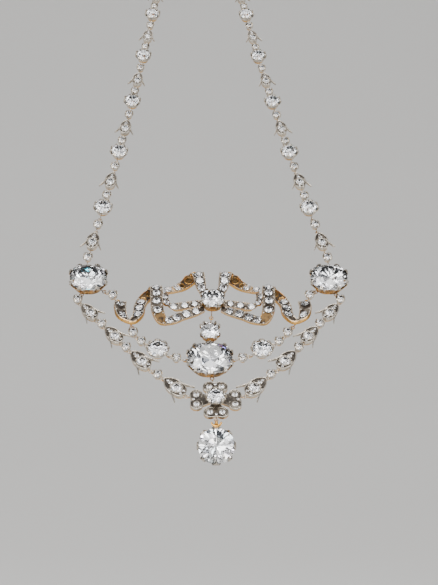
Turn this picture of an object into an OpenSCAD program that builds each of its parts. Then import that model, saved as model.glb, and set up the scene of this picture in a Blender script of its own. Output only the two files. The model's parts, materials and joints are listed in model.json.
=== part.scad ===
// Diamond necklace: a ribbon bow, two husk garlands, a swinging drop and a graduated neck chain.
// Millimetres. +Z is up and -Y is the front. The origin is where the loop hangs at the nape.
// Most pieces are laid out on one leaning plane, the panel: x runs across it, y up its slope and
// z out of its face, with z = 0 at the girdles of the small stones.

/* [Whole piece] */
// Distance between the two corner stones
corner_span = 80; // [78:0.5:82]
// How far the panel and the neck chain lean back from the vertical, in degrees
lean = 42; // [36:1:48]
// Inward slope of each neck chain where it leaves its corner stone, in degrees
chain_slope = 12.6; // [12.4:0.1:12.8]
// Radius of the long curve of each neck chain
chain_bow = 1850; // [1800:10:1900]
// Way along each neck chain to where the bend at the nape begins
nape_from = 150; // [149:0.5:151]

/* [Neck chain] */
// Way along the chain from a corner stone to its first large collet
first_unit = 33.2; // [32.8:0.1:33.6]
// Way from the first large collet to the second
unit_pitch = 28; // [27.8:0.1:28.2]
// Each pitch as a share of the one before it
pitch_ratio = 0.944; // [0.94:0.001:0.948]
// Each unit's size as a share of the one before it
size_ratio = 0.955; // [0.95:0.001:0.96]
// Radius of the largest round chain stone
large_r = 2.9; // [2.8:0.05:2.95]
// Radius of the largest small chain stone
small_r = 1.3; // [1.2:0.05:1.35]
// Length of the largest chain husk
husk_length = 7.4; // [7:0.1:7.6]

/* [Main stones] */
// Width of the centre stone
centre_w = 14.6; // [14:0.1:15]
// Height of the centre stone
centre_h = 12.6; // [12:0.1:13]
// Width of each corner stone
corner_w = 12.4; // [12:0.1:12.8]
// Height of each corner stone
corner_h = 11; // [10.5:0.1:11.4]
// Width of the drop's stone
drop_w = 11.5; // [11:0.1:12]
// Radius of the round stones at the sides of the centre
side_r = 3.3; // [3.1:0.05:3.4]
// Radius of the round stone in the quatrefoil
motif_r = 2.8; // [2.6:0.05:2.9]

/* [Ribbon bow] */
// Thickness of the ribbon
ribbon_t = 1; // [0.8:0.05:1.2]
// Radius of the stones set along the ribbon
pave_r = 1.2; // [1:0.05:1.3]

/* [Hidden] */
SIDES = ["left", "right"];

unit_count = 6;       // large collets on each side
gap = 0.1;            // between a stone and its setting
wire_r = 0.15;        // wire of the linking eyes
eye_r = 0.6;          // an eye's ring, to the middle of its wire
eye_slack = 0.1;      // play between two linked eyes
eye_z = -1.25;        // height of the eyes on the panel

// Heights of the girdles over the panel
large_z = 0.4;
side_z = 0.6;
motif_z = 1.3;
square_z = 0.8;
corner_z = 1.8;
bow_z = 1.8;
centre_z = 2;

// Places and sizes of the settings on the panel
corner_x = corner_span / 2;
corner_y = -1.6;
bow_at = [1, -10.9];
bow_w = 7.6;
bow_h = 7.2;
square_at = [-0.2, -24];
square_w = 6;
square_h = 6.2;
centre_at = [-0.6, -36.8];
motif_at = [0.9, -51.9];
petal_w = 8.2;         // reach of the side petals
petal_h = 7.2;         // reach of the upper and lower petals
clasp_l = 9.6;
clasp_w = 4.6;
clasp_t = 2.6;

// Walls and depths of the settings, below the girdle
CUP_RIM = 0.25;       // a cup's wall is upright this far above and below the girdle
SMALL_WALL = 0.28;
SMALL_DEPTH = 1.9;
LARGE_WALL = 0.32;
LARGE_DEPTH = 2.9;
SIDE_DEPTH = 3.1;
MOTIF_DEPTH = 3.2;
MOTIF_WALL = 0.5;
CORNER_DEPTH = 4.2;
BOW_DEPTH = 3.6;
SQUARE_DEPTH = 2.8;
SQUARE_POWER = 0.55;  // how square an outline is: 1 is an ellipse
CENTRE_DEPTH = 4.6;
DROP_DEPTH = 3.6;
DROP_POWER = 0.9;
CUSHION_POWER = 0.8;

chain_start = 2.4;    // the chains start this far outside the middle of a corner stone
function chain_heading(s) = chain_slope - s / chain_bow * 180 / PI;
function chain_curve(s) = let (h = chain_heading(s)) [corner_x + chain_start
    - chain_bow * (cos(h) - cos(chain_slope)), chain_bow * (sin(chain_slope) - sin(h))];
nape_slope = chain_heading(nape_from);
nape_radius = chain_curve(nape_from).x / cos(nape_slope);
bend_y = chain_curve(nape_from).y - nape_radius * sin(nape_slope);
rest_y = bend_y + nape_radius - clasp_w / 2;

// Point of the panel in the part's own frame
function placed(p) = let (y = p.y - rest_y, z = p.z - eye_z)
    [p.x, y * sin(lean) - z * cos(lean), y * cos(lean) + z * sin(lean)];
module on_panel() rotate([90 - lean, 0, 0]) translate([0, -rest_y, -eye_z]) children();
module for_side(side) mirror([side == "left" ? 1 : 0, 0, 0]) children();

// A place on the right neck chain, [x, y, heading], by the way s from the corner stone
function chain_at(s) = s < nape_from
    ? concat(chain_curve(s), [90 + chain_heading(s)])
    : let (a = nape_slope + (s - nape_from) / nape_radius * 180 / PI)
      [nape_radius * cos(a), bend_y + nape_radius * sin(a), 90 + a];
function sum_to(n, ratio) = n <= 0 ? 0 : (1 - pow(ratio, n)) / (1 - ratio);
function large_s(k) = first_unit + unit_pitch * sum_to(k, pitch_ratio);

// Kinds of link
SMALL = 0;
HUSK = 1;
LARGE = 2;

// A unit is three links and then its large collet
UNIT_KINDS = [SMALL, HUSK, SMALL];
FIRST_WAYS = [9.6, 17.2, 25.2];       // ways along to the first unit's three links
UNIT_SHARES = [0.775, 0.52, 0.26];    // how far the others lie before their collet, in pitches
last_way = 5;                         // from the last large collet to the small one at the clasp
// Links of one chain side in order: [kind, way along the chain, size share]
function chain_unit(k) = let (m = large_s(k), f = pow(size_ratio, k),
    pitch = unit_pitch * pow(pitch_ratio, k - 1))
    [for (i = [0 : 2]) [UNIT_KINDS[i], k == 0 ? FIRST_WAYS[i] : m - UNIT_SHARES[i] * pitch, f],
     [LARGE, m, f]];
CHAIN = [for (k = [0 : unit_count - 1]) each chain_unit(k),
    [SMALL, large_s(unit_count - 1) + last_way, pow(size_ratio, unit_count - 1)]];

function reach(link) = link[0] == SMALL ? small_reach(small_r * link[2])
    : link[0] == LARGE ? large_reach(large_r * link[2]) : husk_length * link[2] / 2;
function link_at(link) = let (c = chain_at(link[1])) [c.x, c.y];

// Right garland from a corner stone to the quatrefoil: [x, y, kind, length or stone radius, heading]
GARLAND = [
    [43.4, -9.6, SMALL, 1.25, 0],
    [39.8, -15.2, HUSK, 7.6, 233],
    [35.7, -20.2, SMALL, 1.25, 0],
    [32.0, -25.3, HUSK, 8, 232],
    [28.0, -30.3, SMALL, 1.25, 0],
    [23.6, -36.0, HUSK, 8.8, 231],
    [18.2, -41.8, SMALL, 1.25, 0],
    [13.05, -47.15, HUSK, 9.2, 227]];
// Right small collets and side stone between the ribbon and the centre stone: [x, y, radius]
INNER = [[25.2, -24.0, 1.3], [22.4, -27.8, 1.2], [16.9, -31.6, side_r], [10.7, -34.9, 1.2]];
BOW_COLLET = [32.6, -7.6, 1.3];

// The middle pieces hang a little aside, and each side's pieces lean over with them, more
// towards the middle
function aside(side, x) = side == "left" ? -x : x;
function leaned(row, x) = [row.x + x, for (i = [1 : len(row) - 1]) row[i]];
function garland(side) = [for (i = [0 : 7]) leaned(GARLAND[i], aside(side, motif_at.x) * i / 7)];
function inner(side) = [for (i = [0 : 3]) leaned(INNER[i], aside(side, centre_at.x) * i / 3)];
function bow_collet_row(side) = leaned(BOW_COLLET, aside(side, bow_at.x) * 0.7);
function mirrored(p, side) = [aside(side, p.x), p.y];
function xy(p) = [p.x, p.y];
function turned(a) = [cos(a), sin(a)];
function tip_of(g, end) = xy(g) + end * g[3] / 2 * turned(g[4]);

// Ribbon sections, right side. Each row is one section: its middle and the vector to its left edge.
// Columns: x, y, z, edge x, edge y, edge z
TAIL = [
    [2.9, -13.2, -1.2, 0.2, 1.2, 0.2],
    [5.6, -14.8, -0.9, 0.2, 1.5, 0.3],
    [9.6, -16.6, -0.6, 0.3, 1.6, 0.3],
    [13.4, -18.8, -0.3, 0.2, 1.6, 0.2],
    [16.3, -19.7, 0.2, -1.2, 1.3, 0.1],
    [18.0, -16.8, 0.9, -2, 0.4, 0],
    [18.5, -11.6, 1.4, -2.1, 0, 0.1],
    [18.5, -7.2, 1.5, -2.1, 0, 0.1],
    [18.9, -5.4, 0.5, -2.1, 0.1, 0],
    [20.2, -6.6, -0.9, -1.9, -0.9, 0],
    [22.6, -9.4, -0.9, -1.7, -1, 0.1],
    [24.0, -13.0, -0.2, -1.9, -0.3, 0.3],
    [24.6, -17.2, 0.2, -1.7, -0.6, 0.5],
    [26.8, -20.2, 0.4, -0.6, -1.4, 1.1],
    [29.6, -18.6, 0.7, 1.4, -0.8, 1],
    [30.5, -14.4, 0.7, 2, 0, 0.4],
    [30.3, -10.6, -0.8, 2, 0, 0.2]];
LOOP = [
    [2.4, -8.4, -0.9, -0.8, 0.1, 0.2],
    [3.6, -5.6, 0.6, -1.6, 0.1, 0.1],
    [4.3, -1.6, 1.5, -2, 0.1, 0.1],
    [4.9, 0.7, 0.6, -2.1, 0.1, 0],
    [6.9, -0.4, -0.8, -1.9, -1.2, 0],
    [9.4, -3.0, -1, -0.9, -1.6, -0.1],
    [12.2, -4.9, -0.6, 0, -1.45, -0.2],
    [15.2, -6.6, -0.3, 1.1, -1.2, 0.3],
    [16.0, -9.8, -0.7, 1.5, 0.1, 0.3],
    [13.6, -12.3, -1.2, 0.8, 1.2, 0.3],
    [9.4, -11.9, -1.3, 0, 1.4, 0.3],
    [5.6, -11.1, -1.3, 0, 1.3, 0.3],
    [2.7, -10.9, -1.4, 0, 1.1, 0.2]];
RIBBON_STEPS = 3;     // pieces between two sections
// Rows of stones on the ribbon: [table, from, to, how many], where from and to count sections
STONE_RUNS = [
    [TAIL, 1, 3.4, 4],
    [TAIL, 5.2, 7.2, 4],
    [TAIL, 10.6, 12, 3],
    [TAIL, 14.2, 15.3, 2],
    [LOOP, 1, 2.2, 3],
    [LOOP, 9.2, 10.9, 3]];

function spline(a, b, c, d, t) = 0.5 * ((2 * b) + (c - a) * t
    + (2 * a - 5 * b + 4 * c - d) * t * t + (3 * b - a - 3 * c + d) * t * t * t);
function section(table, u) = let (n = len(table) - 1, i = min(floor(u), n - 1))
    spline(table[max(i - 1, 0)], table[i], table[i + 1], table[min(i + 2, n)], u - i);
function middle(row) = [row[0], row[1], row[2]];
function edge(row) = [row[3], row[4], row[5]];
function unit(v) = v / norm(v);
// Which way the ribbon's thickness runs at u: square to its edge vector and its course
function facing(table, u) = let (h = 0.05, n = len(table) - 1,
    course = middle(section(table, min(u + h, n))) - middle(section(table, max(u - h, 0))))
    unit(cross(course, edge(section(table, u))));

module ribbon(table) {
    count = (len(table) - 1) * RIBBON_STEPS;
    corners = [for (i = [0 : count]) let (u = i / RIBBON_STEPS, row = section(table, u),
        m = middle(row), e = edge(row), f = facing(table, u) * ribbon_t / 2)
        each [m + e + f, m - e + f, m - e - f, m + e - f]];
    sides = [for (i = [0 : count - 1], k = [0 : 3]) let (a = 4 * i + k, b = 4 * i + (k + 1) % 4)
        each [[a, b + 4, b], [a, a + 4, b + 4]]];
    last = 4 * count;
    polyhedron(corners, concat(sides, [[0, 1, 2, 3]], [[last + 3, last + 2, last + 1, last]]));
}

// Stones set along a ribbon, on the side that faces out of the panel
module ribbon_stones(table, from, to, count)
    for (i = [0 : count - 1]) {
        u = from + (to - from) * i / (count - 1);
        row = section(table, u);
        out = facing(table, u) * (facing(table, u).z < 0 ? -1 : 1);
        across = unit(edge(row));
        along = cross(out, across);
        foot = middle(row) + out * (ribbon_t / 2 + 1.5 * gap);
        multmatrix([for (r = [0 : 2]) [across[r], along[r], out[r], foot[r]]])
            rose_stone(min(pave_r, norm(edge(row)) - 0.15));
    }

// Low stone with a flat back: eight facets round a table
module rose_stone(r) color("white") {
    girdle = 0.22;
    table = 0.6;
    polyhedron(
        concat(ring(0.8 * r, 0.8 * r, 0, 8, 1), ring(r, r, girdle, 8, 1),
               ring(0.6 * r, 0.6 * r, table, 8, 1)),
        concat([[for (i = [0 : 7]) i]], band(0, 8, 8), band(8, 16, 8), [[for (i = [7 : -1 : 0]) 16 + i]]));
}

// Point at the bearing t of an outline that is an ellipse when power is 1, squarer when it is less
function on_outline(a, b, z, t, power) =
    [a * sign(cos(t)) * pow(abs(cos(t)), power), b * sign(sin(t)) * pow(abs(sin(t)), power), z];
function ring(a, b, z, n, power, turn = 0) =
    [for (i = [0 : n - 1]) on_outline(a, b, z, 360 * i / n + turn, power)];
// Faces between two rings of n points that start at the indices low and high
function band(low, high, n) = [for (i = [0 : n - 1]) let (j = (i + 1) % n)
    each [[low + i, high + i, high + j], [low + i, high + j, low + j]]];

// Small brilliant: table, eight crown facets, girdle and eight pavilion facets
module small_stone(r) color("white") {
    half_girdle = 0.06;
    polyhedron(
        concat([[0, 0, -0.85 * r]], ring(r, r, -half_girdle, 8, 1), ring(r, r, half_girdle, 8, 1),
               ring(0.55 * r, 0.55 * r, 0.42 * r, 8, 1)),
        concat([for (i = [0 : 7]) [0, 1 + i, 1 + (i + 1) % 8]], band(1, 9, 8), band(9, 17, 8),
               [[for (i = [7 : -1 : 0]) 17 + i]]));
}

// Old-cut brilliant: table, star and kite facets, split crown and pavilion facets round a girdle
module main_stone(w, h, power = CUSHION_POWER) color("white") {
    a = w / 2;
    b = h / 2;
    half_girdle = 0.12;
    crown = 0.19 * w;
    pavilion = 0.4 * w;
    turn = 22.5;
    points = concat(
        [[0, 0, -pavilion]],
        ring(0.5 * a, 0.5 * b, -0.55 * pavilion, 8, 0.9),
        ring(a, b, -half_girdle, 16, power),
        ring(a, b, half_girdle, 16, power),
        ring(0.78 * a, 0.78 * b, 0.6 * crown, 8, power, turn),
        ring(0.55 * a, 0.55 * b, crown, 8, 0.9));
    polyhedron(points, concat(
        [for (i = [0 : 7]) [0, 1 + i, 1 + (i + 1) % 8]],
        [for (i = [0 : 7]) let (j = (i + 1) % 8, m = 9 + 2 * i + 1)
            each [[1 + i, 9 + 2 * i, m], [1 + i, m, 1 + j], [1 + j, m, 9 + (2 * i + 2) % 16]]],
        band(9, 25, 16),
        [for (i = [0 : 7]) let (o = 25 + 2 * i, m = o + 1, p = 25 + (2 * i + 2) % 16)
            each [[41 + i, m, o], [41 + i, p, m]]],
        [for (i = [0 : 7]) each [[49 + i, 41 + i, 25 + 2 * i], [49 + i, 25 + 2 * i, 41 + (i + 7) % 8]]],
        [for (i = [0 : 7]) [49 + i, 49 + (i + 1) % 8, 41 + i]],
        [[for (i = [7 : -1 : 0]) 49 + i]]));
}

// Round crown setting, open at the back, with its claws left standing between V cuts
CROWN_FOOT = 0.55;     // foot radius as a share of the stone's
module crown_setting(r, depth, claws, wall) {
    lip = 0.22;
    top = 0.52;
    bevel = 0.12;
    claw_w = 0.5;
    cut = 2 * (r + wall / 2) * sin(180 / claws) - claw_w;
    difference() {
        rotate_extrude($fn = 48) polygon([[CROWN_FOOT * r, -depth], [CROWN_FOOT * r + wall, -depth],
            [r + gap + wall, -CUP_RIM], [r + gap + wall, CUP_RIM], [r - lip + bevel, top],
            [r - lip, top - bevel], [r + gap, lip], [r + gap, -CUP_RIM]]);
        for (i = [0 : claws / 2 - 1]) rotate([90, 0, (i + 0.5) * 360 / claws])
            translate([0, 0, -r - 1]) linear_extrude(2 * r + 2)
                polygon([[-0.15 * cut, -0.45], [0.15 * cut, -0.45], [0.5 * cut, 1], [-0.5 * cut, 1]]);
    }
}
module small_collet(r) crown_setting(r, SMALL_DEPTH, 4, SMALL_WALL);
module large_collet(r) translate([0, 0, large_z]) crown_setting(r, LARGE_DEPTH, 8, LARGE_WALL);

// Cushion-shaped crown setting: a flaring wall whose rim rises to claws round the girdle and dips
// under the stone between them
CUSHION_FOOT = 0.62;
CUSHION_WALL = 0.4;
// Corners of the rim at one claw: [place as a share of the claw spacing, kind of corner]
CLAW = 0;
FLANK = 1;
DIP = 2;
RIM = [[-0.09, CLAW], [0.09, CLAW], [0.2, FLANK], [0.34, DIP], [0.66, DIP], [0.8, FLANK]];
module cushion_setting(w, h, depth, claws, power = CUSHION_POWER, turn = 22.5) {
    corners = len(RIM);
    n = corners * claws;
    outside = gap + CUSHION_WALL;
    foot = [CUSHION_FOOT * w / 2, CUSHION_FOOT * h / 2];
    function bearing(i) = 360 * (floor(i / corners) + RIM[i % corners][0]) / claws + turn;
    // Row of points from [how far out it stands from the stone, height] on a claw, flank and dip
    function rim_row(kinds) = [for (i = [0 : n - 1]) let (at = kinds[RIM[i % corners][1]])
        on_outline(w / 2 + at[0], h / 2 + at[0], at[1], bearing(i), power)];
    function foot_row(out) = [for (i = [0 : n - 1])
        on_outline(foot.x + out, foot.y + out, -depth, bearing(i), power)];
    points = concat(
        foot_row(CUSHION_WALL),
        rim_row([[outside, 0.3], [outside, -0.45], [-0.2, -0.9]]),
        rim_row([[-0.2, 0.85], [0.4, -0.45], [-0.4, -0.9]]),
        rim_row([[0.25, 0.1], [0.35, -0.6], [-0.6, -1.05]]),
        foot_row(0));
    polyhedron(points, [for (row = [0 : 4]) each band(row * n, (row + 1) % 5 * n, n)]);
}

// How far settings reach at the height of the eyes
function reach_at_eye(top, foot, z, depth) =
    top - (top - foot) * (z - CUP_RIM - eye_z) / (depth - CUP_RIM);
function crown_reach(r, wall, z, depth) = reach_at_eye(r + gap + wall, CROWN_FOOT * r + wall, z, depth);
function small_reach(r) = crown_reach(r, SMALL_WALL, 0, SMALL_DEPTH);
function large_reach(r) = crown_reach(r, LARGE_WALL, large_z, LARGE_DEPTH);
function cushion_half(half, z, depth) = reach_at_eye(half + gap + CUSHION_WALL,
    CUSHION_FOOT * half + CUSHION_WALL, z, depth);
// The same for a cushion of w by h, in the direction of the vector d
function cushion_reach(w, h, z, depth, d, power = CUSHION_POWER) = let (u = d / norm(d), k = 2 / power,
    a = cushion_half(w / 2, z, depth), b = cushion_half(h / 2, z, depth))
    1 / pow(pow(abs(u.x) / a, k) + pow(abs(u.y) / b, k), 1 / k);

// Ring of wire round the z axis
module wire_ring(r) rotate_extrude($fn = 24) translate([r, 0]) circle(wire_r, $fn = 16);

// One of two linked eyes between a piece at p and a piece at q, which reach rp and rq towards each
// other. It belongs to p. A flat eye lies in the panel and an upright one stands on it.
module eye(p, q, rp, rq, flat, aside = 0) {
    way = norm(q - p);
    at = (way + rp - rq - eye_r - eye_slack) / 2;
    root = min(rp - 0.2, at - eye_r - 0.1);
    translate([p.x, p.y, eye_z]) rotate([0, 0, atan2(q.y - p.y, q.x - p.x)]) translate([0, aside, 0]) {
        translate([at, 0, 0]) rotate([flat ? 0 : 90, 0, 0]) wire_ring(eye_r);
        translate([root, 0, 0]) rotate([0, 90, 0])
            cylinder(h = at - eye_r - root, r = wire_r * 0.9, $fn = 16);
    }
}

// Husk: a pointed leaf rim round a stone, with two thin sepals that flare at its open end, over a
// slightly narrower body. It points along +x, and its open end is at -x. Its outlines are drawn for
// a length of 1.
HUSK_BASE = -1.55;
HUSK_TOP = 0.2;
HUSK_RIM = 0.5;        // depth of the rim and the sepals
HUSK_BODY = [0.99, 0.88];  // length and width of the body as shares of the rim's
HUSK_STEPS = 6;
HUSK_STONE_AT = -0.1;
HUSK_STONE_R = 0.2;
function bezier(a, b, c, t) = (1 - t) * (1 - t) * a + 2 * t * (1 - t) * b + t * t * c;
function curve(a, b, c) = [for (i = [0 : HUSK_STEPS]) bezier(a, b, c, i / HUSK_STEPS)];
HALF_LEAF = concat(
    curve([0.5, 0], [0.3, 0.3], [-0.08, 0.29]),
    curve([-0.08, 0.29], [-0.46, 0.28], [-0.5, 0]),
    [[-0.5, -0.02], [0.5, -0.02]]);
SEPAL = concat(
    curve([0.06, 0.26], [-0.24, 0.34], [-0.5, 0.5]),
    curve([-0.53, 0.47], [-0.26, 0.28], [-0.06, 0.2]));
module husk_body(l) color("silver") difference() {
    union() {
        translate([0, 0, HUSK_TOP - HUSK_RIM]) linear_extrude(HUSK_RIM)
            for (s = [1, -1]) scale([l, s * l]) {
                polygon(HALF_LEAF);
                polygon(SEPAL);
            }
        translate([0, 0, HUSK_BASE]) linear_extrude(HUSK_TOP - HUSK_BASE - HUSK_RIM / 2)
            for (s = [1, -1]) scale([HUSK_BODY.x * l, s * HUSK_BODY.y * l]) polygon(HALF_LEAF);
    }
    translate([HUSK_STONE_AT * l, 0, HUSK_BASE - 1])
        cylinder(h = HUSK_TOP - HUSK_BASE + 2, r = HUSK_STONE_R * l + gap, $fn = 32);
}
// Stone of a husk of length l at [x, y] that points along the heading
module husk_stone(at, l, heading) translate(concat(at + HUSK_STONE_AT * l * turned(heading), [0]))
    small_stone(HUSK_STONE_R * l);

module chain_metal() on_panel() color("silver") {
    last = len(CHAIN) - 1;
    for (i = [0 : last]) {
        link = CHAIN[i];
        c = chain_at(link[1]);
        f = link[2];
        translate([c.x, c.y, 0]) rotate([0, 0, c[2]]) {
            if (link[0] == SMALL) rotate([0, 0, 45]) small_collet(small_r * f);
            if (link[0] == LARGE) rotate([0, 0, 22.5]) large_collet(large_r * f);
            if (link[0] == HUSK) husk_body(husk_length * f);
        }
        back = i == 0 ? corner_top() : link_at(CHAIN[i - 1]);
        ahead = i == last ? clasp_end() : link_at(CHAIN[i + 1]);
        eye(xy(c), back, reach(link), i == 0 ? tip_reach : reach(CHAIN[i - 1]), false);
        eye(xy(c), ahead, reach(link), i == last ? 0 : reach(CHAIN[i + 1]), true);
    }
}
module chain_stones() on_panel() for (link = CHAIN) {
    c = chain_at(link[1]);
    f = link[2];
    translate([c.x, c.y, link[0] == LARGE ? large_z : 0]) rotate([0, 0, c[2] + 22.5]) {
        if (link[0] == SMALL) small_stone(small_r * f);
        if (link[0] == LARGE) small_stone(large_r * f);
    }
    if (link[0] == HUSK) husk_stone(xy(c), husk_length * f, c[2]);
}

// Clasp: a plain closed box across the nape, with an eye at each end
function clasp_end() = [clasp_l / 2 - 0.3, bend_y + nape_radius - 0.6];
module clasp() on_panel() color("gold") {
    corner_cut = 1.2;
    translate([0, bend_y + nape_radius, eye_z]) difference() {
        translate([-clasp_l / 2, -clasp_w / 2, -clasp_t / 2]) cube([clasp_l, clasp_w, clasp_t]);
        for (x = [-1, 1], y = [-1, 1]) translate([x * clasp_l / 2, y * clasp_w / 2, 0]) rotate([0, 0, 45])
            cube([corner_cut, corner_cut, clasp_t + 1], center = true);
    }
    for (s = SIDES) for_side(s)
        eye(clasp_end(), link_at(CHAIN[len(CHAIN) - 1]), 0, reach(CHAIN[len(CHAIN) - 1]), false);
}

// Where a corner setting's eye for the neck chain is rooted
function corner_top() =
    [corner_x + 1, corner_y + cushion_half(corner_h / 2, corner_z, CORNER_DEPTH) - tip_reach];
function corner_reach(d) = cushion_reach(corner_w, corner_h, corner_z, CORNER_DEPTH, d);
module corner_setting(side) on_panel() color("gold") {
    at = [corner_x, corner_y];
    translate([at.x, at.y, corner_z]) cushion_setting(corner_w, corner_h, CORNER_DEPTH, 8);
    eye(corner_top(), link_at(CHAIN[0]), tip_reach, reach(CHAIN[0]), true);
    for (c = [bow_collet_row(side), [GARLAND[0].x, GARLAND[0].y, GARLAND[0][3]]])
        eye(at, xy(c), corner_reach(xy(c) - at), small_reach(c[2]), true);
}

// The bow: two loops and two waving tails of ribbon soldered to one cup
function tail_tip(side) = [30.9 + aside(side, bow_at.x), -10.6];
function tail_trough(side) = [26.9 + aside(side, bow_at.x), -19.9];
tip_reach = 0.4;      // reach of a post or a root that carries an eye
bow_foot = cushion_half(bow_h / 2, bow_z, BOW_DEPTH);
module bow_frame() on_panel() color("silver") {
    translate([bow_at.x, bow_at.y, bow_z]) cushion_setting(bow_w, bow_h, BOW_DEPTH, 8);
    for (side = SIDES) for_side(side) {
        translate([aside(side, bow_at.x), 0, 0]) {
            ribbon(TAIL);
            ribbon(LOOP);
        }
        eye(tail_tip(side), xy(bow_collet_row(side)), tip_reach, small_reach(BOW_COLLET[2]), true);
        eye(tail_trough(side), xy(INNER[0]), tip_reach, small_reach(INNER[0][2]), true);
        for (p = [tail_tip(side), tail_trough(side)]) post(p, 0);
    }
    eye(bow_at, square_at, bow_foot, square_foot, true);
}
// Short round post from the eyes' height up to z
module post(p, z) translate([p.x, p.y, eye_z - wire_r])
    cylinder(h = z - eye_z + wire_r, r = 0.35, $fn = 24);

module bow_ribbon_stones() on_panel() for (side = SIDES) for_side(side)
    translate([aside(side, bow_at.x), 0, 0])
        for (run = STONE_RUNS) ribbon_stones(run[0], run[1], run[2], run[3]);

square_foot = cushion_half(square_h / 2, square_z, SQUARE_DEPTH);
centre_foot = cushion_half(centre_h / 2, centre_z, CENTRE_DEPTH);
centre_side = cushion_half(centre_w / 2, centre_z, CENTRE_DEPTH);
LINK_PAIR = [-1.2, 1.2];  // the centre hangs on two links side by side
module square_setting() on_panel() color("gold") {
    translate([square_at.x, square_at.y, square_z])
        cushion_setting(square_w, square_h, SQUARE_DEPTH, 8, SQUARE_POWER);
    eye(square_at, bow_at, square_foot, bow_foot, false);
    for (x = LINK_PAIR) eye(square_at, centre_at, square_foot, centre_foot, true, x);
}
module centre_setting() on_panel() color("gold") {
    translate([centre_at.x, centre_at.y, centre_z])
        cushion_setting(centre_w, centre_h, CENTRE_DEPTH, 10, turn = 18);
    for (x = LINK_PAIR) eye(centre_at, square_at, centre_foot, square_foot, false, -x);
    eye(centre_at, motif_at, centre_foot, petal_h, true);
    for (side = SIDES)
        eye(centre_at, mirrored(inner(side)[3], side), centre_side, small_reach(INNER[3][2]), true);
}

// Quatrefoil: four two-lobed petals round a crown setting, with eyes for the garlands and the drop
lobe_r = 2.05;
lobe_x = 1.95;
PETAL_BASE = -1.75;
PETAL_TOP = -0.75;
hook_arm = 0.25;      // how far the drop's eye stands out below the lowest petal
function petal_joint(side) = motif_at + [aside(side, petal_w - lobe_r), lobe_x];
function petal_reach(q) = q % 2 == 0 ? petal_h : petal_w;
// The petal's heart between its lobes, narrow at the middle setting
function petal_heart(reach) = let (half = [[1, 1.2], [2.8, reach - 3.2], [0.6, reach - 1.7]])
    concat(half, [for (i = [2 : -1 : 0]) [-half[i].x, half[i].y]]);
module lobes(r) for (q = [0 : 3], x = [-1, 1]) rotate(90 * q)
    translate([x * lobe_x, petal_reach(q) - lobe_r]) circle(r, $fn = 32);
module petals() difference() {
    union() {
        lobes(lobe_r);
        for (q = [0 : 3]) rotate(90 * q) polygon(petal_heart(petal_reach(q)));
    }
    lobes(lobe_r / 2);
    circle(CROWN_FOOT * motif_r + 0.15, $fn = 48);
}
module quatrefoil() {
    on_panel() color("silver") {
        translate([motif_at.x, motif_at.y, 0]) {
            translate([0, 0, PETAL_BASE]) linear_extrude(PETAL_TOP - PETAL_BASE) petals();
            translate([0, 0, motif_z]) crown_setting(motif_r, MOTIF_DEPTH, 8, MOTIF_WALL);
            translate([0, lobe_r - petal_h, eye_z]) rotate([90, 0, 0])
                cylinder(h = lobe_r + hook_arm, r = wire_r + 0.1, $fn = 24);
        }
        eye(motif_at, centre_at, petal_h - lobe_r, centre_foot, false);
        for (side = SIDES) for_side(side)
            eye(mirrored(petal_joint(side), side), tip_of(garland(side)[7], 1), lobe_r, 0, false);
    }
    color("silver") translate(drop_hook()) rotate([90, 0, 0]) wire_ring(hook_r);
}

// The drop: an eye under the quatrefoil, a link ring, and the stone's own eye over a crescent
hook_r = 0.5;
link_r = 0.6;
crescent_r = 1.6;
crescent_w = 0.5;
crescent_t = 0.4;
drop_forward = 0.45;          // the drop's girdle stands this far in front of its eye
hang = 2 * wire_r + gap;      // between the middles of two wires that hang on each other
function drop_hook() =
    placed([motif_at.x, motif_at.y - petal_h - hook_arm + wire_r, eye_z]) - [0, 0, hook_r];
function drop_swing() = drop_hook() - [0, 0, hook_r];
function link_middle() = drop_swing() + [0, 0, hang - link_r];
function drop_sway() = link_middle() - [0, 0, link_r];
function drop_eye() = drop_sway() + [0, 0, hang - hook_r];
drop_h = drop_w - 0.2;
function drop_middle() = drop_eye() - [0, drop_forward, 1.1 + drop_h / 2];

module drop_link() color("gold") translate(link_middle()) rotate([0, 90, 0]) wire_ring(link_r);

module drop_setting() color("gold") {
    bail_w = 0.4;
    bail_h = 0.5;
    translate(drop_eye()) rotate([90, 0, 0]) {
        wire_ring(hook_r);
        translate([0, 0.85, drop_forward]) linear_extrude(crescent_t) difference() {
            circle(crescent_r + crescent_w / 2, $fn = 32);
            circle(crescent_r - crescent_w / 2, $fn = 32);
            translate([-3, -0.2]) square([6, 3]);
        }
        translate([-bail_w / 2, -0.95, -wire_r]) cube([bail_w, bail_h, drop_forward + wire_r + 0.1]);
    }
    translate(drop_middle()) rotate([90, 0, 0])
        cushion_setting(drop_w, drop_h, DROP_DEPTH, 8, DROP_POWER, 0);
}
module drop_stone() translate(drop_middle()) rotate([90, 0, 0]) main_stone(drop_w, drop_h, DROP_POWER);

// Small collets at [x, y, radius] in a list, or their stones where settings is false
module collets(list, settings) on_panel() for (c = list) translate([c.x, c.y, 0]) rotate([0, 0, 45])
    if (settings) small_collet(c[2]); else small_stone(c[2]);

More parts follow.
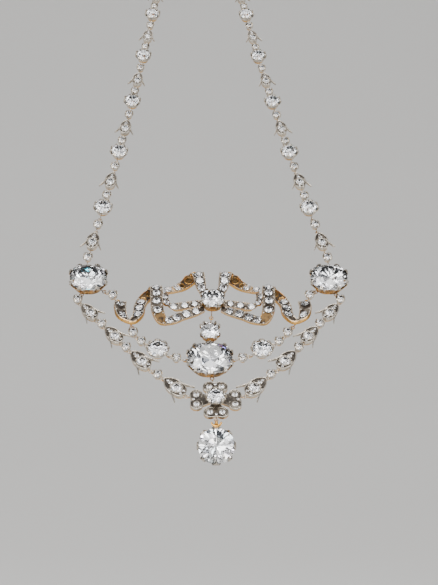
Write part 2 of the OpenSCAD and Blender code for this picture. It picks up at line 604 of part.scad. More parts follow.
module inner_collets(side) {
    row = inner(side);
    middle_stone = mirrored(centre_at, side);
    color("silver") collets([row[0], row[1], row[3]], true);
    on_panel() color("silver") {
        eye(xy(row[0]), tail_trough(side), inner_reach(0), tip_reach, false);
        for (i = [0, 1]) eye(xy(row[i]), xy(row[i + 1]), inner_reach(i), inner_reach(i + 1), true);
        eye(xy(row[1]), xy(row[0]), inner_reach(1), inner_reach(0), false);
        eye(xy(row[3]), xy(row[2]), inner_reach(3), inner_reach(2), true);
        eye(xy(row[3]), middle_stone, inner_reach(3), centre_side, false);
    }
}
function inner_reach(i) =
    i == 2 ? crown_reach(side_r, LARGE_WALL, side_z, SIDE_DEPTH) : small_reach(INNER[i][2]);
module side_setting(side) on_panel() color("silver") {
    row = inner(side);
    translate([row[2].x, row[2].y, side_z]) crown_setting(side_r, SIDE_DEPTH, 8, LARGE_WALL);
    for (i = [1, 3]) eye(xy(row[2]), xy(row[i]), inner_reach(2), inner_reach(i), false);
}

function garland_smalls(side) = [for (g = garland(side)) if (g[2] == SMALL) [g.x, g.y, g[3]]];
function garland_end(g, end) = g[2] == SMALL ? xy(g) : tip_of(g, end);
function garland_reach(i) = GARLAND[i][2] == SMALL ? small_reach(GARLAND[i][3]) : 0;
module garland_collets(side) {
    row = garland(side);
    corner = [corner_x, corner_y];
    color("silver") collets(garland_smalls(side), true);
    on_panel() color("silver") for (i = [0 : 2 : 6]) {
        if (i == 0) eye(xy(row[0]), corner, garland_reach(0), corner_reach(xy(row[0]) - corner), false);
        if (i > 0) eye(xy(row[i]), garland_end(row[i - 1], 1), garland_reach(i), 0, false);
        eye(xy(row[i]), garland_end(row[i + 1], -1), garland_reach(i), 0, true);
    }
}
module garland_husk(side, i) on_panel() color("silver") {
    row = garland(side);
    g = row[i];
    translate([g.x, g.y, 0]) rotate([0, 0, g[4] + 180]) husk_body(g[3]);
    eye(tip_of(g, -1), xy(row[i - 1]), 0, garland_reach(i - 1), false);
    if (i < 7) eye(tip_of(g, 1), xy(row[i + 1]), 0, garland_reach(i + 1), true);
    if (i == 7) eye(tip_of(g, 1), mirrored(petal_joint(side), side), 0, lobe_r, true);
}
module garland_stones(side) {
    collets(garland_smalls(side), false);
    on_panel() for (g = garland(side)) if (g[2] == HUSK) husk_stone(xy(g), g[3], g[4] + 180);
}
module bow_collet(side) {
    row = bow_collet_row(side);
    corner = [corner_x, corner_y];
    color("silver") collets([row], true);
    on_panel() color("silver") {
        eye(xy(row), corner, small_reach(row[2]), corner_reach(xy(row) - corner), false);
        eye(xy(row), tail_tip(side), small_reach(row[2]), tip_reach, false);
    }
}

module set_stone(at, z, w, h, power = CUSHION_POWER) on_panel() translate([at.x, at.y, z])
    main_stone(w, h, power);

clasp();
bow_frame();
set_stone(bow_at, bow_z, bow_w, bow_h);  // bow_stone
bow_ribbon_stones();
square_setting();
set_stone(square_at, square_z, square_w, square_h, SQUARE_POWER);  // square_stone
centre_setting();
set_stone(centre_at, centre_z, centre_w, centre_h);  // centre_stone
quatrefoil();
set_stone(motif_at, motif_z, 2 * motif_r, 2 * motif_r, 1);  // quatrefoil_stone
drop_link();
drop_setting();
drop_stone();
for (s = SIDES) for_side(s) {
    chain_metal();
    chain_stones();
    corner_setting(s);
    set_stone([corner_x, corner_y], corner_z, corner_w, corner_h);
    bow_collet(s);
    collets([bow_collet_row(s)], false);
    inner_collets(s);
    collets([for (i = [0, 1, 3]) inner(s)[i]], false);
    side_setting(s);
    set_stone(inner(s)[2], side_z, 2 * side_r, 2 * side_r, 1);
    garland_collets(s);
    garland_stones(s);
    for (i = [1 : 4])
        garland_husk(s, 2 * i - 1);
}
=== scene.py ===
"""Diamond necklace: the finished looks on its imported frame.

Lengths of the piece's own design are in millimetres and become metres when a mesh is placed.
Most pieces are laid out on one leaning plane, the panel: x runs across it, y up its slope and
z out of its face.
"""

import json
import math
import random

import bmesh
import bpy
from bpy.props import FloatProperty, FloatVectorProperty, IntProperty, PointerProperty
from mathutils import Matrix, Vector


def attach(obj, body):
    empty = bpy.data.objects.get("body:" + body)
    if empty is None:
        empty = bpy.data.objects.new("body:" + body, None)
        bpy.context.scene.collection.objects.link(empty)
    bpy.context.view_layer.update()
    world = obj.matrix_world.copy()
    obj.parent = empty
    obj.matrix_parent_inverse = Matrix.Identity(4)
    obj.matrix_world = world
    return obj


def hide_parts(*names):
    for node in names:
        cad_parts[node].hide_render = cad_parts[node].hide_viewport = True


bl_info = {
    "name": "Diamond Necklace",
    "version": (1, 0, 0),
    "blender": (4, 5, 0),
    "location": "View3D > Sidebar > Necklace",
    "description": "Finishes a diamond necklace with a ribbon bow, husk garlands and a swinging drop",
    "category": "Object",
}

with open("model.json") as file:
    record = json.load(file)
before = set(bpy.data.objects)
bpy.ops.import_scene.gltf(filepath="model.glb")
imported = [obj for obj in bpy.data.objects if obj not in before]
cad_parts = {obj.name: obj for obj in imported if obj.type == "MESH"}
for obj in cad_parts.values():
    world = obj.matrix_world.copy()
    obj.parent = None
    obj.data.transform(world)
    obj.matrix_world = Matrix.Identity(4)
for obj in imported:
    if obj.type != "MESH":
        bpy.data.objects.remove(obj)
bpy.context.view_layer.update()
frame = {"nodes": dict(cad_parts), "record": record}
MM = 0.001
# Sides as seen from the front, and the sign of x there
SIDES = {"left": -1, "right": 1}

# The panel leans back, and its own origin lies on it between the corner stones. REST_Y is how far up
# its slope the frame's origin is, and EYE_Z how high over it the linking eyes are
LEAN = math.radians(42)
REST_Y = 158.865
EYE_Z = -1.25
PANEL = (Matrix.Scale(MM, 4) @ Matrix.Rotation(math.pi / 2 - LEAN, 4, "X")
         @ Matrix.Translation((0, -REST_Y, -EYE_Z)))
PANEL_OUT = (PANEL.to_3x3() @ Vector((0, 0, 1))).normalized()
# The drop's stone in the frame, which faces forward
DROP_MIDDLE = Vector((0.9, -146.364, -170.704))
DROP = (Matrix.Scale(MM, 4) @ Matrix.Translation(DROP_MIDDLE)
        @ Matrix.Rotation(math.pi / 2, 4, "X"))

# Stones and settings, as in the part's source: the gap round a stone, wire and eye radii, the girdle
# height of the chain's large stones, round settings, and the foot of a cup as a share of its stone
GAP = 0.1
WIRE_R = 0.15
EYE_R = 0.6
LARGE_Z = 0.4
SMALL = {"depth": 1.9, "wall": 0.28, "claws": 4}
LARGE = {"depth": 2.9, "wall": 0.32, "claws": 8}
SIDE = {"depth": 3.1, "wall": 0.32, "claws": 8}
MOTIF = {"depth": 3.2, "wall": 0.5, "claws": 8}
CROWN_FOOT = 0.55
CUSHION_FOOT = 0.62
CUSHION_WALL = 0.4
# Large stones: place, girdle height, width, height, outline power, setting depth, claws, turn
MAIN = {
    "bow": ((1, -10.9), 1.8, 7.6, 7.2, 0.8, 3.6, 8, 22.5),
    "square": ((-0.2, -24), 0.8, 6, 6.2, 0.55, 2.8, 8, 22.5),
    "centre": ((-0.6, -36.8), 2, 14.6, 12.6, 0.8, 4.6, 10, 18),
    "corner": ((40, -1.6), 1.8, 12.4, 11, 0.8, 4.2, 8, 22.5),
    "drop": ((0, 0), 0, 11.5, 11.3, 0.9, 3.6, 8, 0),
}
# The quatrefoil's middle and its stone, the round side stone, and the petals: their reach, their lobes
# and the height of their fronts and of the husks'
MOTIF_AT = (0.9, -51.9)
MOTIF_Z = 1.3
MOTIF_R = 2.8
SIDE_R = 3.3
SIDE_Z = 0.6
PETAL_REACH = (7.2, 8.2)
LOBE_R = 2.05
LOBE_X = 1.95
PETAL_TOP = -0.75
HUSK_TOP = 0.2
# Garland of the right side from the corner stone down: collets as (x, y, radius) and husks as
# (x, y, length, heading)
GARLAND = [(43.4, -9.6, 1.25), (39.8, -15.2, 7.6, 233), (35.7, -20.2, 1.25), (32.0, -25.3, 8, 232),
           (28.0, -30.3, 1.25), (23.6, -36.0, 8.8, 231), (18.2, -41.8, 1.25), (13.05, -47.15, 9.2, 227)]
# Row from the bow's tail to the centre stone, and the collet beside the tail: x, y, radius
INNER = [(25.2, -24.0, 1.3), (22.4, -27.8, 1.2), (16.9, -31.6, SIDE_R), (10.7, -34.9, 1.2)]
BOW_COLLET = (32.6, -7.6, 1.3)
# The stone of a husk of length one: its place along the husk, and its radius
HUSK_STONE_AT = -0.1
HUSK_STONE_R = 0.2
# Half the angle between two of eight facets or claws
HALF_STEP = 22.5

# Neck chain of the right side: where it starts, its slope and curve, and where the nape's bend begins
CHAIN_START = 42.4
CHAIN_SLOPE = 12.6
CHAIN_BOW = 1850.0
NAPE_FROM = 150.0
# A unit is a small collet, a husk, a small collet and a large collet. Ways along the chain to those of
# the first unit, ways back from the large collets of the others as shares of their pitch, and the way
# from the last of them to the small collet beside the clasp
LINK_KINDS = ("small", "husk", "small", "large")
LINK_SIZES = {"small": 1.3, "husk": 7.4, "large": 2.9}
FIRST_WAYS = (9.6, 17.2, 25.2)
FIRST_UNIT = 33.2
UNIT_PITCH = 28.0
PITCH_RATIO = 0.944
SIZE_RATIO = 0.955
LINK_PARTS = (0.775, 0.52, 0.26)
UNITS = 6
LAST_LINK = 5

# Ribbon sections of the right side, from the knot on: the middle, and the vector to the edge
TAIL = [
    (2.9, -13.2, -1.2, 0.2, 1.2, 0.2), (5.6, -14.8, -0.9, 0.2, 1.5, 0.3),
    (9.6, -16.6, -0.6, 0.3, 1.6, 0.3), (13.4, -18.8, -0.3, 0.2, 1.6, 0.2),
    (16.3, -19.7, 0.2, -1.2, 1.3, 0.1), (18.0, -16.8, 0.9, -2, 0.4, 0),
    (18.5, -11.6, 1.4, -2.1, 0, 0.1), (18.5, -7.2, 1.5, -2.1, 0, 0.1),
    (18.9, -5.4, 0.5, -2.1, 0.1, 0), (20.2, -6.6, -0.9, -1.9, -0.9, 0),
    (22.6, -9.4, -0.9, -1.7, -1, 0.1), (24.0, -13.0, -0.2, -1.9, -0.3, 0.3),
    (24.6, -17.2, 0.2, -1.7, -0.6, 0.5), (26.8, -20.2, 0.4, -0.6, -1.4, 1.1),
    (29.6, -18.6, 0.7, 1.4, -0.8, 1), (30.5, -14.4, 0.7, 2, 0, 0.4),
    (30.3, -10.6, -0.8, 2, 0, 0.2)]
LOOP = [
    (2.4, -8.4, -0.9, -0.8, 0.1, 0.2), (3.6, -5.6, 0.6, -1.6, 0.1, 0.1),
    (4.3, -1.6, 1.5, -2, 0.1, 0.1), (4.9, 0.7, 0.6, -2.1, 0.1, 0),
    (6.9, -0.4, -0.8, -1.9, -1.2, 0), (9.4, -3.0, -1, -0.9, -1.6, -0.1),
    (12.2, -4.9, -0.6, 0, -1.45, -0.2), (15.2, -6.6, -0.3, 1.1, -1.2, 0.3),
    (16.0, -9.8, -0.7, 1.5, 0.1, 0.3), (13.6, -12.3, -1.2, 0.8, 1.2, 0.3),
    (9.4, -11.9, -1.3, 0, 1.4, 0.3), (5.6, -11.1, -1.3, 0, 1.3, 0.3),
    (2.7, -10.9, -1.4, 0, 1.1, 0.2)]
# Stretches with stones, as (table, section from, section to, stones)
STONE_RUNS = [(TAIL, 1, 3.4, 4), (TAIL, 5.2, 7.2, 4), (TAIL, 10.6, 12, 3), (TAIL, 14.2, 15.3, 2),
              (LOOP, 1, 2.2, 3), (LOOP, 9.2, 10.9, 3)]
# Those round the loop's outer corner are seen in the photograph, but are no solid of the part
CORNER_RUNS = [(LOOP, 5.8, 6.75, 2), (LOOP, 7.55, 8.4, 2)]
# Stretches where a fold shows the ribbon's gold reverse, or its bed is partly gilt, as (table, section
# from, section to, holes behind its stones, gold share, painted shade of the bed)
REVERSES = [(TAIL, 8.0, 10.3, 3, 1, 1.1), (LOOP, 3.2, 5.4, 3, 1, 1.1), (LOOP, 5.4, 7.4, 0, 0.6, 0.2),
            (TAIL, 3.6, 5.0, 0, 0.9, 0.95)]
# The whole bow sits this far to the wearer's left
BOW_ASIDE = 1.0
# The collet beside its tail takes this share of that
COLLET_ASIDE = 0.7
# Where a tail carries its eyes, and how far each piece reaches from its middle towards an eye
TAIL_TIP = (30.9, -10.6)
TAIL_TROUGH = (26.9, -19.9)
RIBBON_REACH = 0.4
COLLET_REACH = 1.265
BOW_REACH = 2.873
SQUARE_REACH = 2.698


# The user's sizes and colours

class NecklaceSizes(bpy.types.PropertyGroup):
    """Sizes of the fine parts."""
    ribbon_stone: FloatProperty(
        name="Ribbon Stone Radius", description="Largest radius of the stones along the ribbon",
        default=1.35 * MM, min=0.8 * MM, max=1.6 * MM, unit="LENGTH", precision=5)
    claw: FloatProperty(
        name="Claw Thickness", description="Radius of the large settings' claws",
        default=0.16 * MM, min=0.1 * MM, max=0.3 * MM, unit="LENGTH", precision=5)
    small_claw: FloatProperty(
        name="Small Claw Thickness", description="Radius of the round settings' claws",
        default=0.2 * MM, min=0.1 * MM, max=0.28 * MM, unit="LENGTH", precision=5)
    grain: FloatProperty(
        name="Grain Radius", description="Radius of the beads along the ribbon's rims",
        default=0.13 * MM, min=0.08 * MM, max=0.2 * MM, unit="LENGTH", precision=5)
    grain_pitch: FloatProperty(
        name="Grain Pitch", description="Distance between neighbouring beads",
        default=0.36 * MM, min=0.25 * MM, max=0.8 * MM, unit="LENGTH", precision=5)
    table: FloatProperty(
        name="Table Share", description="Width of a stone's table as a share of the stone",
        default=0.52, min=0.4, max=0.6, subtype="FACTOR")
    wire_sides: IntProperty(
        name="Wire Sides", description="Flats round each wire and claw", default=8, min=5, max=16)


class NecklaceFinish(bpy.types.PropertyGroup):
    """Colours and wear of the stones and metals."""
    silver: FloatVectorProperty(
        name="Silver", description="Worn silver of the fronts", default=(0.68, 0.62, 0.53),
        min=0, max=1, subtype="COLOR")
    gold: FloatVectorProperty(
        name="Gold", description="Yellow gold of the backs and galleries", default=(0.78, 0.42, 0.1),
        min=0, max=1, subtype="COLOR")
    # This colour is both the worn film and the painted shade in recesses, on the ribbon's bed and in its
    # holes
    tarnish_and_shade: FloatVectorProperty(
        name="Tarnish", description="Dark film in the recesses", default=(0.05, 0.038, 0.03),
        min=0, max=1, subtype="COLOR")
    tarnish_share: FloatProperty(
        name="Tarnish Share", description="How much of the metal the film covers",
        default=0.45, min=0, max=1, subtype="FACTOR")
    roughness: FloatProperty(
        name="Roughness", description="Mean roughness of the metal", default=0.22, min=0.05, max=0.6,
        subtype="FACTOR")
    stone: FloatVectorProperty(
        name="Stone", description="Body colour of the stones", default=(0.99, 0.99, 1.0),
        min=0, max=1, subtype="COLOR")


class NecklaceStudio(bpy.types.PropertyGroup):
    """Light and backdrop."""
    key: FloatProperty(name="Key Light", description="Power of the large soft light", default=17, min=0,
                       unit="POWER")
    fill: FloatProperty(name="Fill Light", description="Power of the side light", default=9.5, min=0,
                        unit="POWER")
    room: FloatProperty(name="Room Light", description="Strength of the surrounding light",
                        default=0.25, min=0, max=2)
    backdrop: FloatVectorProperty(
        name="Backdrop", description="Pale floor and sweep", default=(0.66, 0.65, 0.63),
        min=0, max=1, subtype="COLOR")


# Small tools

def put(tree, kind, inputs=None, **settings):
    """Adds a node with its settings, and links or fills its inputs. Returns its first output."""
    node = tree.nodes.new(kind)
    for key, value in settings.items():
        setattr(node, key, value)
    for key, value in (inputs or {}).items():
        socket = node.inputs[key]
        if isinstance(value, bpy.types.NodeSocket):
            tree.links.new(value, socket)
        else:
            socket.default_value = value
    return next((out for out in node.outputs if out.enabled), None)


def group_tree(name, kind, inputs, outputs):
    """New node group. Inputs are (name, socket type, default) and outputs are (name, socket type)."""
    tree = bpy.data.node_groups.new(name, kind)
    for label, socket_type, default in inputs:
        socket = tree.interface.new_socket(label, in_out="INPUT", socket_type=socket_type)
        if default is not None:
            socket.default_value = default
    for label, socket_type in outputs:
        tree.interface.new_socket(label, in_out="OUTPUT", socket_type=socket_type)
    entry = tree.nodes.new("NodeGroupInput")
    leave = tree.nodes.new("NodeGroupOutput")
    return tree, entry.outputs, leave.inputs


# Sockets of a colour mix, which have no names of their own
MIX_SHARE, MIX_FIRST, MIX_SECOND, MIX_RESULT = 0, 6, 7, 2


def calc(tree, operation, *values, **settings):
    """Math node on up to three values."""
    return put(tree, "ShaderNodeMath", dict(enumerate(values)), operation=operation, **settings)


def blend(tree, share, first, second, **settings):
    """Mix of two colours, by how much of the second one shows."""
    mix = put(tree, "ShaderNodeMix", {MIX_SHARE: share, MIX_FIRST: first, MIX_SECOND: second},
              data_type="RGBA", **settings)
    return mix.node.outputs[MIX_RESULT]


def ramp(tree, value, low, high):
    """Soft step from nought at one value to one at another."""
    return put(tree, "ShaderNodeMapRange", {"Value": value, "From Min": low, "From Max": high},
               interpolation_type="SMOOTHSTEP")


def painted(tree, layer, output="Fac"):
    """What a mesh's own layer holds."""
    return put(tree, "ShaderNodeAttribute", attribute_name=layer).node.outputs[output]


def dot_with(tree, vector, way):
    """How far a vector reaches along a direction."""
    return put(tree, "ShaderNodeVectorMath", {0: vector, 1: way},
               operation="DOT_PRODUCT").node.outputs["Value"]


def object_place(tree):
    """Place of the shaded point on its own piece."""
    return tree.nodes.new("ShaderNodeTexCoord").outputs["Object"]


def guide_mesh(name, points, edges=(), **layers):
    """Points and edges for a Geometry Nodes tree. A layer is a list of numbers or of vectors."""
    mesh = bpy.data.meshes.new(name)
    mesh.from_pydata([tuple(p) for p in points], list(edges), [])
    for key, values in layers.items():
        vectors = isinstance(values[0], (tuple, Vector))
        layer = mesh.attributes.new(key, "FLOAT_VECTOR" if vectors else "FLOAT", "POINT")
        if vectors:
            layer.data.foreach_set("vector", [c for v in values for c in v])
        else:
            layer.data.foreach_set("value", list(values))
    return mesh


def add_object(name, data):
    """New object in the scene."""
    piece = bpy.data.objects.new(name, data)
    bpy.context.scene.collection.objects.link(piece)
    return piece


def grow(tree, mesh, name, **values):
    """Runs a Geometry Nodes tree on a guide mesh. Returns the result as a plain mesh object."""
    guide = add_object(name + "_guide", mesh)
    modifier = guide.modifiers.new("Grow", "NODES")
    modifier.node_group = tree
    for item in tree.interface.items_tree:
        if item.in_out == "INPUT" and item.name in values:
            modifier[item.identifier] = values[item.name]
    graph = bpy.context.evaluated_depsgraph_get()
    grown = bpy.data.meshes.new_from_object(
        guide.evaluated_get(graph), preserve_all_data_layers=True, depsgraph=graph)
    guide.modifiers.remove(modifier)
    bpy.data.objects.remove(guide)
    if not grown.polygons:
        raise RuntimeError(name + " came out empty")
    grown.name = name
    return add_object(name, grown)


def finish(piece, body="necklace", replaced=()):
    """Puts a piece on its body, and hides the nodes that it stands for."""
    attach(piece, body)
    if replaced:
        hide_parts(*replaced)
    return piece


def mesh_piece(name, points, faces, material, place=None, smooth_below=None):
    """Plain mesh piece from points and faces, with its normals outwards."""
    mesh = bpy.data.meshes.new(name)
    mesh.from_pydata([tuple(p) for p in points], [], faces)
    shape = bmesh.new()
    shape.from_mesh(mesh)
    bmesh.ops.recalc_face_normals(shape, faces=shape.faces)
    shape.to_mesh(mesh)
    shape.free()
    if place is not None:
        mesh.transform(place)
    if smooth_below is not None:
        mesh.shade_smooth()
        mesh.set_sharp_from_angle(angle=math.radians(smooth_below))
    mesh.materials.append(material)
    return add_object(name, mesh)


def turned(degrees):
    """Unit vector at a heading."""
    return Vector((math.cos(math.radians(degrees)), math.sin(math.radians(degrees))))


def circle(count):
    """Unit vectors evenly round a circle."""
    return [turned(360 / count * i) for i in range(count)]


def bands(rings, n, first=0, closed=False):
    """Quads between neighbouring rings of n points. When closed, the last ring meets the first."""
    faces = []
    for k in range(rings if closed else rings - 1):
        for i in range(n):
            j = (i + 1) % n
            corners = (k * n + i, k * n + j, (k + 1) * n + j, (k + 1) * n + i)
            faces.append(tuple(first + corner % (rings * n) for corner in corners))
    return faces


def on_outline(a, b, power, degrees):
    """Point of an outline that is an ellipse when power is 1, and squarer when it is less."""
    c, s = turned(degrees)
    return Vector((math.copysign(a * abs(c) ** power, c), math.copysign(b * abs(s) ** power, s)))


def panel_place(x, y, z=0.0, heading=0.0, size=1.0):
    """Where a shape of unit size stands on the panel."""
    return (PANEL @ Matrix.Translation((x, y, z)) @ Matrix.Rotation(math.radians(heading), 4, "Z")
            @ Matrix.Scale(size, 4))


# Geometry Nodes trees

def piece_tree(name, inputs, shape_of, smooth=False):
    """Tree that turns a guide into one plain piece. shape_of(tree, given) makes what it is made of."""
    tree, given, result = group_tree(
        name, "GeometryNodeTree",
        [("Geometry", "NodeSocketGeometry", None), *inputs, ("Material", "NodeSocketMaterial", None)],
        [("Geometry", "NodeSocketGeometry")])
    out = put(tree, "GeometryNodeRealizeInstances", {"Geometry": shape_of(tree, given)})
    if smooth:
        out = put(tree, "GeometryNodeSetShadeSmooth", {"Geometry": out})
    out = put(tree, "GeometryNodeSetMaterial", {"Geometry": out, "Material": given["Material"]})
    tree.links.new(out, result["Geometry"])
    return tree


def guide_layer(tree, name, kind):
    """What a layer of the guide holds."""
    return put(tree, "GeometryNodeInputNamedAttribute", {"Name": name}, data_type=kind)


def copies_tree():
    """Stands a copy of one shape on each point, by the point's turn and size."""
    def shape_of(tree, given):
        info = put(tree, "GeometryNodeObjectInfo", {"Object": given["Shape"]}).node
        turn = put(tree, "FunctionNodeEulerToRotation", {"Euler": guide_layer(tree, "turn", "FLOAT_VECTOR")})
        return put(tree, "GeometryNodeInstanceOnPoints", {
            "Points": given["Geometry"], "Instance": info.outputs["Geometry"], "Rotation": turn,
            "Scale": guide_layer(tree, "size", "FLOAT_VECTOR")})

    return piece_tree("Copies on points", [("Shape", "NodeSocketObject", None)], shape_of)


def wire_tree():
    """Draws a wire along each path, as thick as its points say."""
    def shape_of(tree, given):
        path = put(tree, "GeometryNodeMeshToCurve", {"Mesh": given["Geometry"]})
        profile = put(tree, "GeometryNodeCurvePrimitiveCircle", {
            "Resolution": given["Sides"], "Radius": 1.0})
        return put(tree, "GeometryNodeCurveToMesh", {
            "Curve": path, "Profile Curve": profile, "Scale": guide_layer(tree, "thick", "FLOAT"),
            "Fill Caps": True})

    return piece_tree("Wire along paths", [("Sides", "NodeSocketInt", 8)], shape_of)


def grain_tree():
    """Sets small beads at an even pitch along each path."""
    def shape_of(tree, given):
        path = put(tree, "GeometryNodeMeshToCurve", {"Mesh": given["Geometry"]})
        spread = put(tree, "GeometryNodeResampleCurve", {"Curve": path, "Length": given["Pitch"]},
                     mode="LENGTH")
        bead = put(tree, "GeometryNodeMeshIcoSphere", {"Radius": given["Radius"], "Subdivisions": 1})
        return put(tree, "GeometryNodeInstanceOnPoints", {"Points": spread, "Instance": bead})

    sizes = bpy.context.scene.necklace_sizes
    inputs = [("Radius", "NodeSocketFloat", sizes.grain), ("Pitch", "NodeSocketFloat", sizes.grain_pitch)]
    return piece_tree("Grains along paths", inputs, shape_of, smooth=True)


def tree_named(name, build):
    """The tree of that name, built when it is first asked for."""
    return bpy.data.node_groups.get(name) or build()


def copies(name, shape, places, material):
    """Copies of a hidden unit shape at each place, as one piece."""
    mesh = guide_mesh(name, [m.translation for m in places], turn=[Vector(m.to_euler()) for m in places],
                      size=[m.to_scale() for m in places])
    return grow(tree_named("Copies on points", copies_tree), mesh, name, Shape=shape, Material=material)


def path_mesh(name, paths, thick=True):
    """Paths as edges. A path is (points with their radius, closed)."""
    points, radii, edges = [], [], []
    for stations, closed in paths:
        first = len(points)
        points += [point for point, _ in stations]
        radii += [radius for _, radius in stations]
        edges += [(i, i + 1) for i in range(first, len(points) - 1)]
        if closed:
            edges.append((len(points) - 1, first))
    return guide_mesh(name, points, edges, thick=radii) if thick else guide_mesh(name, points, edges)


# Angle from which an edge of a wire is sharp
WIRE_CREASE = math.radians(60)


def wires(name, paths, material, sides=None):
    """Round wires along paths, as one piece."""
    sides = sides or bpy.context.scene.necklace_sizes.wire_sides
    piece = grow(tree_named("Wire along paths", wire_tree), path_mesh(name, paths), name,
                 Sides=sides, Material=material)
    piece.data.shade_smooth()
    piece.data.set_sharp_from_angle(angle=WIRE_CREASE)
    return piece


def grains(name, paths, radius, pitch, material):
    """Rows of beads along paths, as one piece."""
    return grow(tree_named("Grains along paths", grain_tree), path_mesh(name, paths, thick=False), name,
                Radius=radius, Pitch=pitch, Material=material)


# Finishes

# The worn film: the height of the broad cloud from which it is full at no share, its soft edge, and how
# much finer the second cloud is. Film adds to the roughness, the fine cloud speckles it, and the broad
# one has this share in the relief
FILM_FULL = 0.72
FILM_EDGE = 0.3
FINER = 9.0
FILM_ROUGHNESS = 0.25
SPECKLE = 0.16
BROAD_RELIEF = 0.7


def worn_film_group():
    """Dark film and polish: where a metal is tarnished, how rough it is and its fine relief."""
    tree, given, result = group_tree(
        "Worn metal film", "ShaderNodeTree",
        [("Scale", "NodeSocketFloat", 600.0), ("Share", "NodeSocketFloat", 0.4),
         ("Roughness", "NodeSocketFloat", 0.25)],
        [("Film", "NodeSocketFloat"), ("Roughness", "NodeSocketFloat"), ("Height", "NodeSocketFloat")])
    where = object_place(tree)
    broad = put(tree, "ShaderNodeTexNoise", {
        "Vector": where, "Scale": given["Scale"], "Detail": 4.0, "Roughness": 0.6})
    # The film fills the lows of the broad cloud, the more of them the larger its share is
    full = calc(tree, "SUBTRACT", FILM_FULL, given["Share"])
    film = ramp(tree, broad, calc(tree, "ADD", full, FILM_EDGE), full)
    fine = put(tree, "ShaderNodeTexNoise", {
        "Vector": where, "Scale": calc(tree, "MULTIPLY", given["Scale"], FINER), "Detail": 2.0})
    rubbed = calc(tree, "MULTIPLY_ADD", film, FILM_ROUGHNESS, given["Roughness"])
    speckle = calc(tree, "MULTIPLY_ADD", fine, SPECKLE, rubbed)
    tree.links.new(film, result["Film"])
    rough = calc(tree, "SUBTRACT", speckle, SPECKLE / 2, use_clamp=True)
    tree.links.new(rough, result["Roughness"])
    tree.links.new(calc(tree, "MULTIPLY_ADD", broad, BROAD_RELIEF, fine), result["Height"])
    return tree


def new_material(name):
    """New material, with its tree and its shader."""
    material = bpy.data.materials.new(name)
    material.use_nodes = True
    return material, material.node_tree, material.node_tree.nodes["Principled BSDF"]


# What dullness adds to the roughness, and the relief's strength and depth
DULL_ROUGHNESS = 0.3
BUMP_STRENGTH = 0.25
BUMP_DEPTH = 0.04 * MM


def filmed_metal(name, scale, colour_of, dull=0):
    """Metal under the worn film. colour_of(tree, film, look) gives the clean colour and how much of it
    the film and any painted shade cover. dull is how dull the metal is, or the name of the layer that says
    so."""
    look = bpy.context.scene.necklace_finish
    material, tree, shader = new_material(name)
    film = tree.nodes.new("ShaderNodeGroup")
    film.node_tree = bpy.data.node_groups.get("Worn metal film") or worn_film_group()
    for key, value in (("Scale", scale), ("Share", look.tarnish_share), ("Roughness", look.roughness)):
        film.inputs[key].default_value = value
    clean, cover = colour_of(tree, film.outputs["Film"], look)
    tree.links.new(blend(tree, cover, clean, (*look.tarnish_and_shade, 1)), shader.inputs["Base Color"])
    rough = film.outputs["Roughness"]
    if dull:
        share = painted(tree, dull) if isinstance(dull, str) else dull
        rough = calc(tree, "MULTIPLY_ADD", share, DULL_ROUGHNESS, rough)
    tree.links.new(rough, shader.inputs["Roughness"])
    bump = put(tree, "ShaderNodeBump", {
        "Height": film.outputs["Height"], "Strength": BUMP_STRENGTH, "Distance": BUMP_DEPTH})
    tree.links.new(bump, shader.inputs["Normal"])
    shader.inputs["Metallic"].default_value = 1
    return material


# Metals of one colour: scale of the film, colour and its strength, how much the film covers where it
# lies and everywhere, and how dull the metal is. Rubbed silver is that of claws, rims and grains, and
# silver foil lies under the small set stones
PLAIN_METALS = {
    "rubbed_silver": (700, "silver", 1, 0.5, 0, 0),
    "silver_foil": (900, "silver", 1, 0.15, 0, 1.0),
    "yellow_gold": (380, "gold", 1, 0.4, 0, 0),
    "old_gold": (450, "gold", 1, 0.5, 0.42, 0),
    # Dark gold of the caps in the ribbon's holes, which is painted shade
    "dark_recess": (500, "gold", 0.3, 0.3, 0.5, 0),
}


def plain_metal(name):
    """Metal of one colour under the worn film."""
    scale, colour, strength, cover, all_over, dull = PLAIN_METALS[name]

    def colour_of(tree, film, look):
        clean = (*(c * strength for c in getattr(look, colour)), 1)
        return clean, calc(tree, "MULTIPLY_ADD", film, cover, all_over)

    return filmed_metal(name, scale, colour_of, dull)


# Heights over the panel between which silver fronts turn to gold backs
SILVER_DOWN_TO = -0.9
GOLD_BELOW = -1.6
# A recess between rims, which carries painted shade, faces out of the panel this squarely, lies this
# near to the front of a husk or petal, and its painted shade is this dark
SQUARELY = 0.985
NEAR = 0.04
RECESS_SHADE = 0.86
# How much the film covers where it lies on each metal, how much it covers everywhere on a large
# setting's gold and silver, and how dark the painted shade on the ribbon's bed is
FRONT_FILM, SETTING_FILM, RIBBON_FILM = 0.55, 0.45, 0.35
GOLD_COVER, TIP_COVER = 0.42, 0.04
BED_SHADE = 0.82


